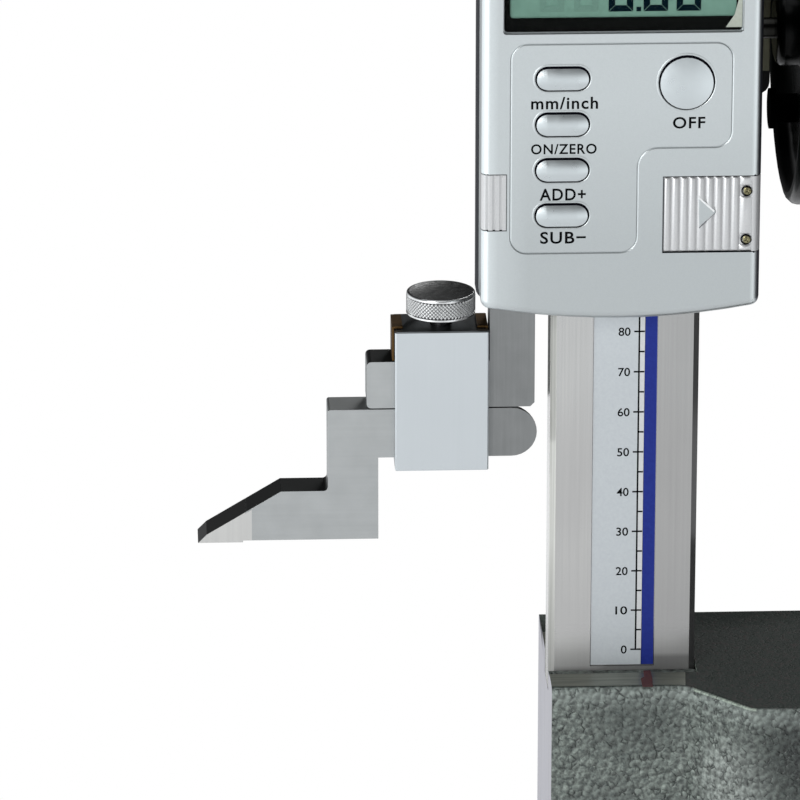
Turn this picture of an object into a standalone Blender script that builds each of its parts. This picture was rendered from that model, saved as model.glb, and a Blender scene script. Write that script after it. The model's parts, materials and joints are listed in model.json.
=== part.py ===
"""Digital height gauge, 0 to 300 mm, with a handwheel drive: a steel column on a cast base, and a
carriage that holds the display head, the rack drive and a clamped scriber.

Units are metres. +X is to the right, +Y away from the viewer and +Z up. The origin is on the surface
plate, under the middle of the column, and the carriage stands at rest_height.
Run with: blender --background --python part.py
"""

import math

import bmesh
import bpy
from mathutils import Matrix, Vector

# What the gauge measures, and where its carriage stands
travel = 0.300
rest_height = 0.0900

# Clearances that every fit is made with
seat_gap = 0.0003
slide_gap = 0.0003
fit_gap = 0.00015
overrun = 0.002

# Column
column_width = 0.0350
column_depth = 0.0120
column_edge = 0.0014
column_head_room = 0.0230
label_groove_depth = 0.0008

# Base
base_height = 0.05675
base_length = 0.1225
base_behind_column = 0.0365
pad_before_column = 0.0138
toe_before_column = 0.0294
shoulder_from_axis = 0.0140
toe_from_axis = 0.0286
shoulder_round = 0.0040
toe_round = 0.0040
base_side_stock = 0.0040
base_right_round = 0.0120
base_top_round = 0.0016
pad_groove_width = 0.0046
pad_groove_depth = 0.0009
socket_depth = 0.0060
relief_depth = 0.0030
relief_rim = 0.0100
relief_round = 0.0060

# Scale strips in the column's front groove
zero_above_base = 0.00415
label_left = 0.0074
label_right = 0.0046
strip_right = 0.0076
label_thickness = 0.0004

# Display head, measured from its lowest edge
head_fall = 0.00135
head_offset = 0.00265
head_width = 0.0646
window_rise = 0.0688
window_height = 0.02355
head_brow = 0.0090
head_front = 0.0170
head_depth = 0.0103
head_arc = 0.1700
head_corner = 0.0022
head_edge = 0.0020
head_wall = 0.0020
rear_shell_margin = 0.0007
rear_shell_thickness = 0.0028
head_plate_inset = 0.0035

# Slider frame, measured from the display head's lowest edge
frame_left = 0.0319
frame_right = 0.0298
frame_rise = 0.00535
frame_fall = 0.0020
frame_front = 0.0010
frame_back_wall = 0.0027
arm_reach = 0.0608
arm_height = 0.01145
arm_drop = 0.02645
arm_thickness = 0.0095
arm_round = 0.0011
leg_width = 0.0106
leg_chamfer = 0.0010
gib_thickness = 0.0020

# Rack drive
tooth_module = 0.0010
pinion_teeth = 20
pressure_angle = math.radians(20)
backlash = 0.00020
mesh_clearance = 0.00010
pinion_width = 0.0070
rack_width = 0.0080
rack_backing = 0.0025
rack_sink = 0.0005
rack_end_land = 0.0120
rack_first = 0.0850
drive_rise = 0.05915
shaft_radius = 0.0025
wheel_radius = 0.0415

# Clamp and scriber
clamp_width = 0.0220
clamp_wall = 0.0020
clamp_floor = 0.0024
clamp_head = 0.0056
shoe_thickness = 0.0005
shoe_lift = 0.0015
bar_height = 0.0120
scriber_end = 0.0207
step_left = 0.0700
step_right = 0.0581
foot_height = 0.0122
slope_from = 0.0811
tip_reach = 0.1008
carbide_proud = 0.00045
scriber_round = 0.0006
scriber_fillet = 0.0010

# Places that the sizes above settle
column_front = -column_depth / 2
column_back = column_depth / 2
half_column = column_width / 2
scale_zero = base_height + zero_above_base
head_bottom = scale_zero + rest_height - head_fall
head_axis = -head_offset
head_face = column_front - head_front
front_shell_back = head_face + head_depth
rear_shell_front = front_shell_back + seat_gap
rear_shell_back = rear_shell_front + rear_shell_thickness
frame_face = column_front - frame_front
head_plate_back = frame_face - seat_gap
head_height = window_rise + window_height + head_brow
frame_bottom = head_bottom + frame_rise
frame_top = head_bottom + head_height - frame_fall
frame_back = column_back + slide_gap + frame_back_wall
column_foot = base_height - socket_depth + seat_gap
column_top = frame_top + travel - rest_height + column_head_room
arm_bottom = head_bottom - arm_drop
arm_top = arm_bottom + arm_height
arm_back = frame_face + arm_thickness
drive_height = head_bottom + drive_rise
pitch_radius = tooth_module * pinion_teeth / 2
rack_tip = column_back - rack_sink
drive_depth = rack_tip - tooth_module + pitch_radius + mesh_clearance

finishes = {
    "cast_iron_hammertone": ((0.150, 0.168, 0.160), 0.45, 0.0),
    "ground_steel": ((0.560, 0.560, 0.550), 0.32, 1.0),
    "satin_steel": ((0.300, 0.305, 0.300), 0.40, 1.0),
    "satin_chrome": ((0.620, 0.650, 0.660), 0.30, 1.0),
    "carbide": ((0.430, 0.430, 0.420), 0.25, 1.0),
    "bronze": ((0.420, 0.260, 0.110), 0.35, 1.0),
    "brass": ((0.560, 0.450, 0.240), 0.30, 1.0),
    "black_oxide_steel": ((0.030, 0.030, 0.032), 0.45, 1.0),
    "black_enamel": ((0.010, 0.012, 0.011), 0.35, 0.0),
    "black_phenolic": ((0.006, 0.009, 0.008), 0.22, 0.0),
    "silver_paint_abs": ((0.480, 0.520, 0.530), 0.38, 0.4),
    "dark_grey_abs": ((0.050, 0.052, 0.058), 0.55, 0.0),
    "label_film": ((0.580, 0.620, 0.640), 0.50, 0.0),
    "blue_film": ((0.022, 0.040, 0.250), 0.45, 0.0),
    "clear_acrylic": ((0.850, 0.900, 0.900), 0.05, 0.0),
    "lcd_glass": ((0.140, 0.260, 0.210), 0.20, 0.0),
    "circuit_board": ((0.020, 0.120, 0.050), 0.50, 0.0),
    "grey_rubber": ((0.120, 0.120, 0.125), 0.80, 0.0),
    "cell_steel": ((0.550, 0.550, 0.540), 0.25, 1.0),
    "spring_steel": ((0.450, 0.450, 0.440), 0.30, 1.0),
}


# Small helpers


def clear_scene():
    for thing in list(bpy.data.objects):
        bpy.data.objects.remove(thing, do_unlink=True)


def material_for(finish):
    """The Principled material of this finish, made the first time it is asked for."""
    found = bpy.data.materials.get(finish)
    if found:
        return found
    colour, roughness, metallic = finishes[finish]
    made = bpy.data.materials.new(finish)
    made.use_nodes = True
    shader = made.node_tree.nodes["Principled BSDF"]
    shader.inputs["Base Color"].default_value = (*colour, 1.0)
    shader.inputs["Roughness"].default_value = roughness
    shader.inputs["Metallic"].default_value = metallic
    return made


def object_from(name, shape, finish):
    """Closes a bmesh into a named object with its material, its faces pointing out."""
    bmesh.ops.recalc_face_normals(shape, faces=shape.faces)
    mesh = bpy.data.meshes.new(name)
    shape.to_mesh(mesh)
    shape.free()
    thing = bpy.data.objects.new(name, mesh)
    bpy.context.scene.collection.objects.link(thing)
    if finish:
        mesh.materials.append(material_for(finish))
    return thing


def smooth(thing, degrees=35):
    thing.data.shade_smooth()
    thing.data.set_sharp_from_angle(angle=math.radians(degrees))
    return thing


def at(along, a, b, height):
    """A point from two coordinates across an axis and one along it."""
    if along == "X":
        return Vector((height, a, b))
    if along == "Y":
        return Vector((a, height, b))
    return Vector((a, b, height))


def lofted(name, rings, finish=None):
    """A closed body through rings of points, each with the same number of them."""
    shape = bmesh.new()
    loops = [[shape.verts.new(point) for point in ring] for ring in rings]
    count = len(rings[0])
    for lower, upper in zip(loops, loops[1:]):
        for i in range(count):
            j = (i + 1) % count
            shape.faces.new((lower[i], lower[j], upper[j], upper[i]))
    shape.faces.new(loops[0])
    shape.faces.new(loops[-1])
    return object_from(name, shape, finish)


def prism(name, outline, along, low, high, finish=None):
    """An outline in the plane across an axis, given thickness along it."""
    rings = [[at(along, a, b, height) for a, b in outline] for height in (low, high)]
    return lofted(name, rings, finish)


def block(name, low, high, finish=None):
    outline = [(low[0], low[1]), (high[0], low[1]), (high[0], high[1]), (low[0], high[1])]
    return prism(name, outline, "Z", low[2], high[2], finish)


def turned(name, profile, along, a, b, finish=None, sides=32):
    """A profile of (place along the axis, radius) turned about an axis through (a, b).
    A profile that starts and ends on the axis is solid, and any other is closed into a ring."""
    shape = bmesh.new()
    rows = []
    for height, radius in profile:
        if radius == 0:
            rows.append([shape.verts.new(at(along, a, b, height))] * sides)
            continue
        row = []
        for i in range(sides):
            angle = math.tau * i / sides
            point = at(along, a + radius * math.cos(angle), b + radius * math.sin(angle), height)
            row.append(shape.verts.new(point))
        rows.append(row)
    pairs = list(zip(rows, rows[1:]))
    if profile[0][1] > 0:
        pairs.append((rows[-1], rows[0]))
    for near, far in pairs:
        for i in range(sides):
            j = (i + 1) % sides
            corners = list(dict.fromkeys((near[i], near[j], far[j], far[i])))
            shape.faces.new(corners)
    return smooth(object_from(name, shape, finish))


def rod(name, along, a, b, low, high, radius, finish=None, sides=16):
    return turned(name, [(low, 0), (low, radius), (high, radius), (high, 0)], along, a, b, finish, sides)


def arc(a, b, radius, start, end, steps):
    """Points on an arc from one angle to another, in degrees, both ends included."""
    points = []
    for i in range(steps + 1):
        angle = math.radians(start + (end - start) * i / steps)
        points.append((a + radius * math.cos(angle), b + radius * math.sin(angle)))
    return points


def rounded_box(low_a, low_b, high_a, high_b, radius, steps=4):
    """A rectangle with round corners, counterclockwise from its lower left."""
    return (
        arc(low_a + radius, low_b + radius, radius, 180, 270, steps)
        + arc(high_a - radius, low_b + radius, radius, 270, 360, steps)
        + arc(high_a - radius, high_b - radius, radius, 0, 90, steps)
        + arc(low_a + radius, high_b - radius, radius, 90, 180, steps)
    )


def rounded_path(corners, steps=5):
    """An outline from corners (a, b, radius), each rounded by an arc that touches both its sides."""
    points = []
    count = len(corners)
    for i, (a, b, radius) in enumerate(corners):
        here = Vector((a, b))
        before = Vector(corners[i - 1][:2])
        after = Vector(corners[(i + 1) % count][:2])
        back, forth = (before - here).normalized(), (after - here).normalized()
        if radius == 0:
            points.append((a, b))
            continue
        half = back.angle(forth) / 2
        centre = here + (back + forth).normalized() * radius / math.sin(half)
        first = here + back * radius / math.tan(half) - centre
        last = here + forth * radius / math.tan(half) - centre
        turn = last.angle_signed(first)
        for step in range(steps + 1):
            angle = math.atan2(first.y, first.x) + turn * step / steps
            points.append((centre.x + radius * math.cos(angle), centre.y + radius * math.sin(angle)))
    return points


def inset(outline, distance):
    """A counterclockwise outline moved inwards by a distance that its round corners allow."""
    points = []
    count = len(outline)
    for i in range(count):
        here = Vector(outline[i])
        into = (here - Vector(outline[i - 1])).normalized()
        out = (Vector(outline[(i + 1) % count]) - here).normalized()
        middle = Vector((-into.y - out.y, into.x + out.x)).normalized()
        lean = max(middle.dot(Vector((-into.y, into.x))), math.cos(math.radians(60)))
        points.append(tuple(here + middle * distance / lean))
    return points


def stadium(a, b, length, height, grow=0.0, steps=8):
    """A slot shape lying along the first coordinate."""
    radius = height / 2 + grow
    reach = length / 2 - height / 2
    return arc(a + reach, b, radius, -90, 90, steps) + arc(a - reach, b, radius, 90, 270, steps)


def circle(a, b, radius, sides=32):
    return arc(a, b, radius, 0, 360, sides)[:-1]


def hide(helper):
    helper.hide_render = True
    helper.display_type = "WIRE"


def shape_with(target, operation, helpers):
    for helper in helpers:
        step = target.modifiers.new(helper.name, "BOOLEAN")
        step.operation = operation
        step.object = helper
        step.solver = "EXACT"
        hide(helper)
        attach(helper, target)


def cut(target, *cutters):
    shape_with(target, "DIFFERENCE", cutters)
    return target


def join(target, *others):
    shape_with(target, "UNION", others)
    return target


def keep_inside(target, other):
    shape_with(target, "INTERSECT", [other])
    return target


def bevelled(thing, width, segments=1, degrees=40):
    """Breaks the sharp edges of a simple body."""
    step = thing.modifiers.new("edges", "BEVEL")
    step.width = width
    step.segments = segments
    step.limit_method = "ANGLE"
    step.angle_limit = math.radians(degrees)
    return thing


def world_of(thing):
    if thing.parent is None:
        return thing.matrix_basis.copy()
    return world_of(thing.parent) @ thing.matrix_parent_inverse @ thing.matrix_basis


def attach(child, parent):
    """Parents a piece without moving it."""
    child.parent = parent
    child.matrix_parent_inverse = world_of(parent).inverted()


def pivot(name, place, parent=None):
    """An empty on a joint's axis, which carries the pieces of a moving body."""
    empty = bpy.data.objects.new(name, None)
    empty.empty_display_size = column_depth
    empty.location = place
    bpy.context.scene.collection.objects.link(empty)
    if parent is not None:
        world = Matrix.Translation(place)
        empty.parent = parent
        empty.matrix_parent_inverse = world_of(parent).inverted()
        empty.matrix_basis = world
    return empty


def carry(empty, *things):
    for thing in things:
        attach(thing, empty)


# Base casting, with the socket that the column stands in

column_screw_from_axis = 0.0095
column_screw_radius = 0.0030
column_screw_head = 0.0050
column_screw_head_height = 0.0060
column_screw_shoulder = 0.0280
column_screw_grip = 0.0100
base_left = -half_column
base_right = base_left + base_length
base_back = column_front + base_behind_column
pad_front = column_front - pad_before_column
toe_front = column_front - toe_before_column


def base_outline():
    """The casting from above, with stock at the left that the ground side is cut back from."""
    raw_left = base_left - base_side_stock
    return rounded_path([
        (raw_left, pad_front, base_side_stock / 2),
        (shoulder_from_axis, pad_front, shoulder_round),
        (toe_from_axis, toe_front, toe_round),
        (base_right, toe_front, base_right_round),
        (base_right, base_back, base_right_round),
        (raw_left, base_back, base_side_stock / 2),
    ])


def make_base():
    outline = base_outline()
    rings = [[at("Z", a, b, 0) for a, b in outline]]
    for step in range(5):
        lean = math.radians(90 * step / 4)
        height = base_height - base_top_round * (1 - math.sin(lean))
        narrow = inset(outline, base_top_round * (1 - math.cos(lean))) if step else outline
        rings.append([at("Z", a, b, height) for a, b in narrow])
    base = lofted("base_casting", rings, "cast_iron_hammertone")
    socket = block(
        "socket_cut",
        (base_left - overrun, column_front - seat_gap, base_height - socket_depth),
        (half_column + seat_gap, column_back + seat_gap, base_height + overrun),
    )
    groove = block(
        "pad_groove_cut",
        (base_left - overrun, column_front - pad_groove_width, base_height - pad_groove_depth),
        (half_column + seat_gap, column_front, base_height + overrun),
    )
    relief = prism(
        "relief_cut",
        rounded_box(half_column + relief_rim / 2, toe_front + relief_rim, base_right - relief_rim,
                    base_back - relief_rim, relief_round),
        "Z", -overrun, relief_depth,
    )
    side = block(
        "ground_side_cut",
        (base_left - 2 * base_side_stock, toe_front, -overrun),
        (base_left, base_back + overrun, base_height + overrun),
    )
    cutters = [side, socket, groove, relief]
    for side in (-1, 1):
        x = side * column_screw_from_axis
        wide = column_screw_head + seat_gap
        narrow = column_screw_radius + seat_gap
        profile = [(-overrun, 0), (-overrun, wide), (column_screw_shoulder, wide),
                   (column_screw_shoulder, narrow), (base_height, narrow), (base_height, 0)]
        cutters.append(turned(f"column_bolt_way_{side}", profile, "Z", x, 0, sides=24))
    cut(base, *cutters)
    return smooth(base)


def make_column_screws():
    made = []
    for side, word in ((-1, "left"), (1, "right")):
        top = column_screw_shoulder - seat_gap
        under = top - column_screw_head_height
        end = column_foot + column_screw_grip
        profile = [(under, 0), (under, column_screw_head), (top, column_screw_head),
                   (top, column_screw_radius), (end, column_screw_radius), (end, 0)]
        x = side * column_screw_from_axis
        made.append(turned(f"column_screw_{word}", profile, "Z", x, 0, "black_oxide_steel", 12))
    return made


# Column, with the label groove in its front and the rack's groove in its back

rack_floor = rack_tip - 2.25 * tooth_module - rack_backing
rack_screw_radius = 0.0012
rack_screw_head = 0.0022
rack_screw_head_height = 0.0012
rack_screw_grip = 0.0040
cap_overhang = 0.0008
cap_thickness = 0.0040
cap_edge = 0.0008
cap_plug_width = 0.0060
cap_plug_depth = 0.0080


def make_column():
    e = column_edge
    x = half_column
    outline = [
        (-x + e, column_front), (x - e, column_front), (x, column_front + e), (x, column_back - e),
        (x - e, column_back), (-x + e, column_back), (-x, column_back - e), (-x, column_front + e),
    ]
    column = prism("column", outline, "Z", column_foot, column_top, "ground_steel")
    low, high = column_foot - overrun, column_top + overrun
    label_way = block(
        "label_groove_cut",
        (-label_left - fit_gap, column_front - overrun, base_height),
        (strip_right + fit_gap, column_front + label_groove_depth, high),
    )
    rack_way = block(
        "rack_groove_cut",
        (-rack_width / 2 - seat_gap, rack_floor - seat_gap, base_height + zero_above_base),
        (rack_width / 2 + seat_gap, column_back + overrun, high),
    )
    cutters = [label_way, rack_way]
    for side in (-1, 1):
        place = side * column_screw_from_axis
        depth = column_foot + column_screw_grip + seat_gap
        cutters.append(rod(f"column_tap_{side}", "Z", place, 0, low, depth, column_screw_radius + seat_gap,
                           sides=16))
    for height in (rack_first + rack_end_land / 2, rack_last - rack_end_land / 2):
        depth = rack_floor - rack_screw_grip - seat_gap
        cutters.append(rod(f"rack_tap_{height:.3f}", "Y", 0, height, depth, column_back,
                           rack_screw_radius + seat_gap, sides=16))
    cutters.append(rod("cap_plug_way", "Z", half_column / 2, 0, column_top - cap_plug_depth - seat_gap, high,
                       cap_plug_width / 2 + fit_gap, sides=16))
    return cut(column, *cutters)


def make_scale():
    low, high = base_height + seat_gap, column_top - seat_gap
    back = column_front + label_groove_depth - fit_gap
    front = back - label_thickness
    label = block("scale_label", (-label_left, front, low), (label_right, back, high), "label_film")
    strip = block("edge_strip", (label_right + fit_gap, front, low), (strip_right, back, high), "blue_film")
    return [label, strip]


def make_column_cap():
    low = column_top + seat_gap
    outline = rounded_box(-half_column - cap_overhang, column_front - cap_overhang,
                          half_column + cap_overhang, column_back + cap_overhang, column_edge)
    rings = [[at("Z", a, b, z) for a, b in ring] for ring, z in (
        (outline, low), (outline, low + cap_thickness - cap_edge), (inset(outline, cap_edge), low + cap_thickness))]
    cap = lofted("column_cap", rings, "dark_grey_abs")
    plug = rod("cap_plug", "Z", half_column / 2, 0, column_top - cap_plug_depth, low + cap_thickness / 2,
               cap_plug_width / 2, sides=16)
    return join(cap, plug)


# Rack and pinion, with involute teeth

tooth_pitch = math.pi * tooth_module
tooth_depth = 2.25 * tooth_module
half_tooth = (tooth_pitch - backlash) / 4
rack_steps_down = math.floor((drive_height - rack_first - rack_end_land) / tooth_pitch)
rack_steps_up = math.floor((drive_height - rest_height + travel + pitch_radius - drive_height) / tooth_pitch)
rack_last = drive_height + rack_steps_up * tooth_pitch + rack_end_land


def make_rack():
    """A bar with straight-sided teeth on its far side, one gap of which faces the pinion at rest."""
    root = rack_tip - tooth_depth
    lean = math.tan(pressure_angle)
    pitch_line = rack_tip - tooth_module
    outline = [(rack_floor, rack_first), (rack_floor, rack_last), (root, rack_last)]
    for step in range(rack_steps_up - 1, -rack_steps_down - 1, -1):
        middle = drive_height + (step + 0.5) * tooth_pitch
        foot = half_tooth + (pitch_line - root) * lean
        crest = half_tooth - (rack_tip - pitch_line) * lean
        outline += [(root, middle + foot), (rack_tip, middle + crest),
                    (rack_tip, middle - crest), (root, middle - foot)]
    outline.append((root, rack_first))
    rack = prism("rack", outline, "X", -rack_width / 2, rack_width / 2, "satin_steel")
    cutters = []
    for height in (rack_first + rack_end_land / 2, rack_last - rack_end_land / 2):
        cutters.append(rod(f"rack_screw_way_{height:.3f}", "Y", 0, height, rack_floor - overrun,
                           root + overrun, rack_screw_radius + seat_gap, sides=16))
    return cut(rack, *cutters)


def make_rack_screws():
    made = []
    root = rack_tip - tooth_depth
    for word, height in (("bottom", rack_first + rack_end_land / 2), ("top", rack_last - rack_end_land / 2)):
        start = rack_floor - rack_screw_grip
        under = root + seat_gap
        crown = under + rack_screw_head_height
        profile = [(start, 0), (start, rack_screw_radius), (under, rack_screw_radius),
                   (under, rack_screw_head), (crown, rack_screw_head), (crown, 0)]
        made.append(turned(f"rack_screw_{word}", profile, "Y", 0, height, "black_oxide_steel", 12))
    return made


def pinion_outline():
    """The pinion's teeth about its axis in (Y, Z), a tooth pointing at the rack, down the Y axis."""
    base_radius = pitch_radius * math.cos(pressure_angle)
    root_radius = pitch_radius - 1.25 * tooth_module
    tip_radius = pitch_radius + tooth_module
    start = max(base_radius, root_radius)
    roll = math.tan(pressure_angle) - pressure_angle
    half_angle = half_tooth / pitch_radius + roll
    flank = []
    for step in range(3):
        radius = start + (tip_radius - start) * step / 2
        turn = math.acos(min(1.0, base_radius / radius))
        flank.append((radius, half_angle - (math.tan(turn) - turn)))
    points = []
    for tooth in range(pinion_teeth):
        middle = math.pi + math.tau * tooth / pinion_teeth
        points.append((root_radius, middle - half_angle))
        points += [(radius, middle - angle) for radius, angle in flank]
        points += [(radius, middle + angle) for radius, angle in reversed(flank)]
        points.append((root_radius, middle + half_angle))
    return [(drive_depth + r * math.cos(t), drive_height + r * math.sin(t)) for r, t in points]


def make_pinion():
    pinion = prism("pinion", pinion_outline(), "X", -pinion_width / 2, pinion_width / 2, "ground_steel")
    bore = rod("pinion_bore", "X", drive_depth, drive_height, -pinion_width, pinion_width,
               shaft_radius + fit_gap)
    return cut(pinion, bore)


# Shaft, handwheel and its turning handle, along X from the column

shaft_left_end = 0.0180
shaft_right_end = 0.0470
hub_left = 0.0357
hub_right = 0.0485
hub_radius = 0.0090
hub_round = 0.0022
web_left = 0.0432
web_thickness = 0.0030
rim_left = 0.0383
rim_right = 0.0490
rim_depth = 0.0040
rim_round = 0.0024
wheel_screw_radius = 0.0015
wheel_screw_head = 0.0045
wheel_screw_head_height = 0.0020
wheel_screw_grip = 0.0060
handle_radius_from_axis = 0.0314
handle_angle = math.radians(-53.4)
handle_depth = drive_depth + handle_radius_from_axis * math.cos(handle_angle)
handle_height = drive_height + handle_radius_from_axis * math.sin(handle_angle)
pin_radius = 0.0022
pin_collar_left = 0.0367
pin_collar_thickness = 0.0016
pin_collar_radius = 0.0049
pin_shoulder_radius = 0.0035
handle_length = 0.0300
handle_foot_radius = 0.0047
handle_waist_radius = 0.0042
handle_belly_radius = 0.0076
handle_nose_radius = 0.0050
pin_head_radius = 0.0034
pin_head_thickness = 0.0014


def make_shaft():
    end_chamfer = shaft_radius / 5
    low, high = -shaft_left_end, shaft_right_end
    profile = [(low, 0), (low, shaft_radius - end_chamfer), (low + end_chamfer, shaft_radius),
               (high, shaft_radius), (high, 0)]
    shaft = turned("drive_shaft", profile, "X", drive_depth, drive_height, "ground_steel")
    tap = rod("wheel_screw_tap", "X", drive_depth, drive_height, high - wheel_screw_grip - seat_gap,
              high + overrun, wheel_screw_radius + fit_gap, sides=16)
    return cut(shaft, tap)


def make_wheel():
    bore = shaft_radius + fit_gap
    web_right = web_left + web_thickness
    rim_inner = wheel_radius - rim_depth
    r = rim_round
    profile = [(hub_left, bore), (hub_left, hub_radius - hub_round)]
    profile += [(hub_left + hub_round - hub_round * math.cos(t), hub_radius - hub_round + hub_round * math.sin(t))
                for t in (math.radians(30), math.radians(60), math.radians(90))]
    profile += [(web_left - hub_round, hub_radius), (web_left, hub_radius + hub_round)]
    profile += [(web_left, rim_inner - hub_round), (web_left - hub_round, rim_inner)]
    profile += [(rim_left + r / 2, rim_inner), (rim_left, rim_inner + r / 2)]
    profile += [(rim_left + r - r * math.cos(t), wheel_radius - r + r * math.sin(t))
                for t in (0, math.radians(30), math.radians(60), math.radians(90))]
    profile += [(rim_right - r + r * math.cos(t), wheel_radius - r + r * math.sin(t))
                for t in (math.radians(90), math.radians(60), math.radians(30), 0)]
    profile += [(rim_right, rim_inner + r / 2), (rim_right - r / 2, rim_inner)]
    profile += [(web_right + hub_round / 2, rim_inner), (web_right, rim_inner - hub_round / 2)]
    profile += [(web_right, hub_radius + hub_round / 2), (web_right + hub_round / 2, hub_radius)]
    profile += [(hub_right - hub_round / 2, hub_radius), (hub_right, hub_radius - hub_round / 2)]
    profile += [(hub_right, bore)]
    wheel = turned("handwheel", profile, "X", drive_depth, drive_height, "black_phenolic", 44)
    hole = rod("handle_hole", "X", handle_depth, handle_height, web_left - overrun, web_right + overrun,
               pin_radius + fit_gap, sides=20)
    return cut(wheel, hole)


def make_wheel_screw():
    under = hub_right + seat_gap
    end = shaft_right_end - wheel_screw_grip
    crown = under + wheel_screw_head_height
    profile = [(end, 0), (end, wheel_screw_radius), (under, wheel_screw_radius), (under, wheel_screw_head),
               (crown - wheel_screw_head_height / 3, wheel_screw_head), (crown, wheel_screw_head * 3 / 4),
               (crown, 0)]
    return turned("wheel_screw", profile, "X", drive_depth, drive_height, "black_oxide_steel", 18)


def make_handle():
    foot = web_left + web_thickness + seat_gap
    nose = foot + handle_length
    recess = nose - pin_head_thickness - seat_gap
    bore = pin_radius + fit_gap
    wide = pin_head_radius + fit_gap
    profile = [(foot, bore), (foot, handle_foot_radius)]
    profile += [(foot + handle_length * share, radius) for share, radius in (
        (0.06, handle_foot_radius), (0.14, handle_waist_radius), (0.30, handle_waist_radius * 1.15),
        (0.52, handle_belly_radius * 0.95), (0.70, handle_belly_radius), (0.86, handle_belly_radius * 0.93),
        (0.96, handle_nose_radius * 1.15))]
    profile += [(nose, handle_nose_radius), (nose, wide), (recess, wide), (recess, bore)]
    handle = turned("crank_handle", profile, "X", handle_depth, handle_height, "black_phenolic", 24)
    collar = pin_collar_left + pin_collar_thickness
    head = recess + seat_gap / 2
    profile = [(pin_collar_left, 0), (pin_collar_left, pin_collar_radius), (collar, pin_collar_radius),
               (collar, pin_shoulder_radius), (web_left - fit_gap, pin_shoulder_radius),
               (web_left - fit_gap, pin_radius), (head, pin_radius), (head, pin_head_radius),
               (head + pin_head_thickness, pin_head_radius), (head + pin_head_thickness, 0)]
    pin = turned("handle_pin", profile, "X", handle_depth, handle_height, "black_oxide_steel", 18)
    return handle, pin


# Slider frame: two cheeks and a back wall round the column, with the leg and arm hanging at the left

gib_clearance_side = half_column + slide_gap + gib_thickness + slide_gap
gib_half_depth = 0.0045
gib_end_gap = 0.0030
gib_screw_radius = 0.0015
gib_screw_from_end = 0.0160
frame_screw_radius = 0.0015
frame_screw_head = 0.0028
frame_screw_head_height = 0.0020
frame_screw_from_edge = 0.0065
frame_screw_low = 0.0085
frame_screw_from_top = 0.0035
frame_screw_grip = 0.0038
post_radius = 0.0030
pinion_window_half_width = 0.0055
pinion_window_spare = 0.0015
lock_fall = 0.0140
lock_hole_radius = 0.0022
lock_height = frame_top - lock_fall


def frame_screw_places():
    left, right = -frame_left + frame_screw_from_edge, frame_right - frame_screw_from_edge
    low, high = head_bottom + frame_screw_low, frame_top - frame_screw_from_top
    return [(left, low), (right, low), (left, high), (right, high)]


def gib_screw_heights():
    return (frame_bottom + gib_screw_from_end, frame_top - gib_screw_from_end)


def make_frame():
    leg_right = -frame_left + leg_width
    outline = rounded_path([
        (-arm_reach, arm_bottom, arm_round), (leg_right - leg_chamfer, arm_bottom, 0),
        (leg_right, arm_bottom + leg_chamfer, 0), (leg_right, frame_bottom, 0), (frame_right, frame_bottom, 0),
        (frame_right, frame_top, 0), (-frame_left, frame_top, 0), (-frame_left, arm_top, 0),
        (-arm_reach, arm_top, arm_round),
    ])
    frame = prism("slider_frame", outline, "Y", frame_face, frame_back, "satin_steel")
    channel = block(
        "column_channel_cut",
        (-half_column - slide_gap, frame_face - overrun, frame_bottom - overrun),
        (gib_clearance_side, column_back + slide_gap, frame_top + overrun),
    )
    arm_rear = block(
        "arm_rear_cut",
        (-arm_reach - overrun, arm_back, arm_bottom - overrun),
        (leg_right + overrun, frame_back + overrun, frame_bottom),
    )
    reach = pitch_radius + tooth_module + pinion_window_spare
    window = block(
        "pinion_window_cut",
        (-pinion_window_half_width, column_back, drive_height - reach),
        (pinion_window_half_width, frame_back + overrun, drive_height + reach),
    )
    cutters = [channel, arm_rear, window]
    for i, height in enumerate(gib_screw_heights()):
        cutters.append(rod(f"gib_screw_way_{i}", "X", 0, height, half_column, frame_right + overrun,
                           gib_screw_radius + fit_gap, sides=16))
    for i, (x, z) in enumerate(frame_screw_places()):
        cutters.append(rod(f"frame_screw_way_{i}", "Y", x, z, frame_face - overrun, frame_back + overrun,
                           frame_screw_radius + fit_gap, sides=16))
    cutters.append(rod("lock_way", "X", 0, lock_height, -frame_left - overrun, -half_column,
                       lock_hole_radius, sides=20))
    for i, (x, z) in enumerate(bracket_screw_places()):
        cutters.append(rod(f"bracket_tap_{i}", "Y", x, z, column_back, frame_back + overrun,
                           bracket_screw_radius + fit_gap, sides=12))
    return cut(frame, *cutters)


def make_gib():
    low, high = frame_bottom + gib_end_gap, frame_top - gib_end_gap
    inner = half_column + slide_gap
    gib = block("gib_strip", (inner, -gib_half_depth, low), (inner + gib_thickness, gib_half_depth, high), "bronze")
    made = [gib]
    for word, height in zip(("low", "high"), gib_screw_heights()):
        start = inner + gib_thickness + fit_gap
        end = frame_right - gib_screw_radius / 3
        point = gib_screw_radius / 2
        profile = [(start, 0), (start, point), (start + point, gib_screw_radius), (end, gib_screw_radius), (end, 0)]
        made.append(turned(f"gib_screw_{word}", profile, "X", 0, height, "black_oxide_steel", 12))
    return made


def make_frame_screws():
    made = []
    tip = front_shell_back - frame_screw_grip
    under = frame_back + seat_gap
    crown = under + frame_screw_head_height
    for i, (x, z) in enumerate(frame_screw_places()):
        profile = [(tip, 0), (tip, frame_screw_radius), (under, frame_screw_radius), (under, frame_screw_head),
                   (crown, frame_screw_head), (crown, 0)]
        made.append(turned(f"frame_screw_{i + 1}", profile, "Y", x, z, "black_oxide_steel", 12))
    return made


# Drive bracket with its two bushes, the back plate and the rear cover

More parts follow.
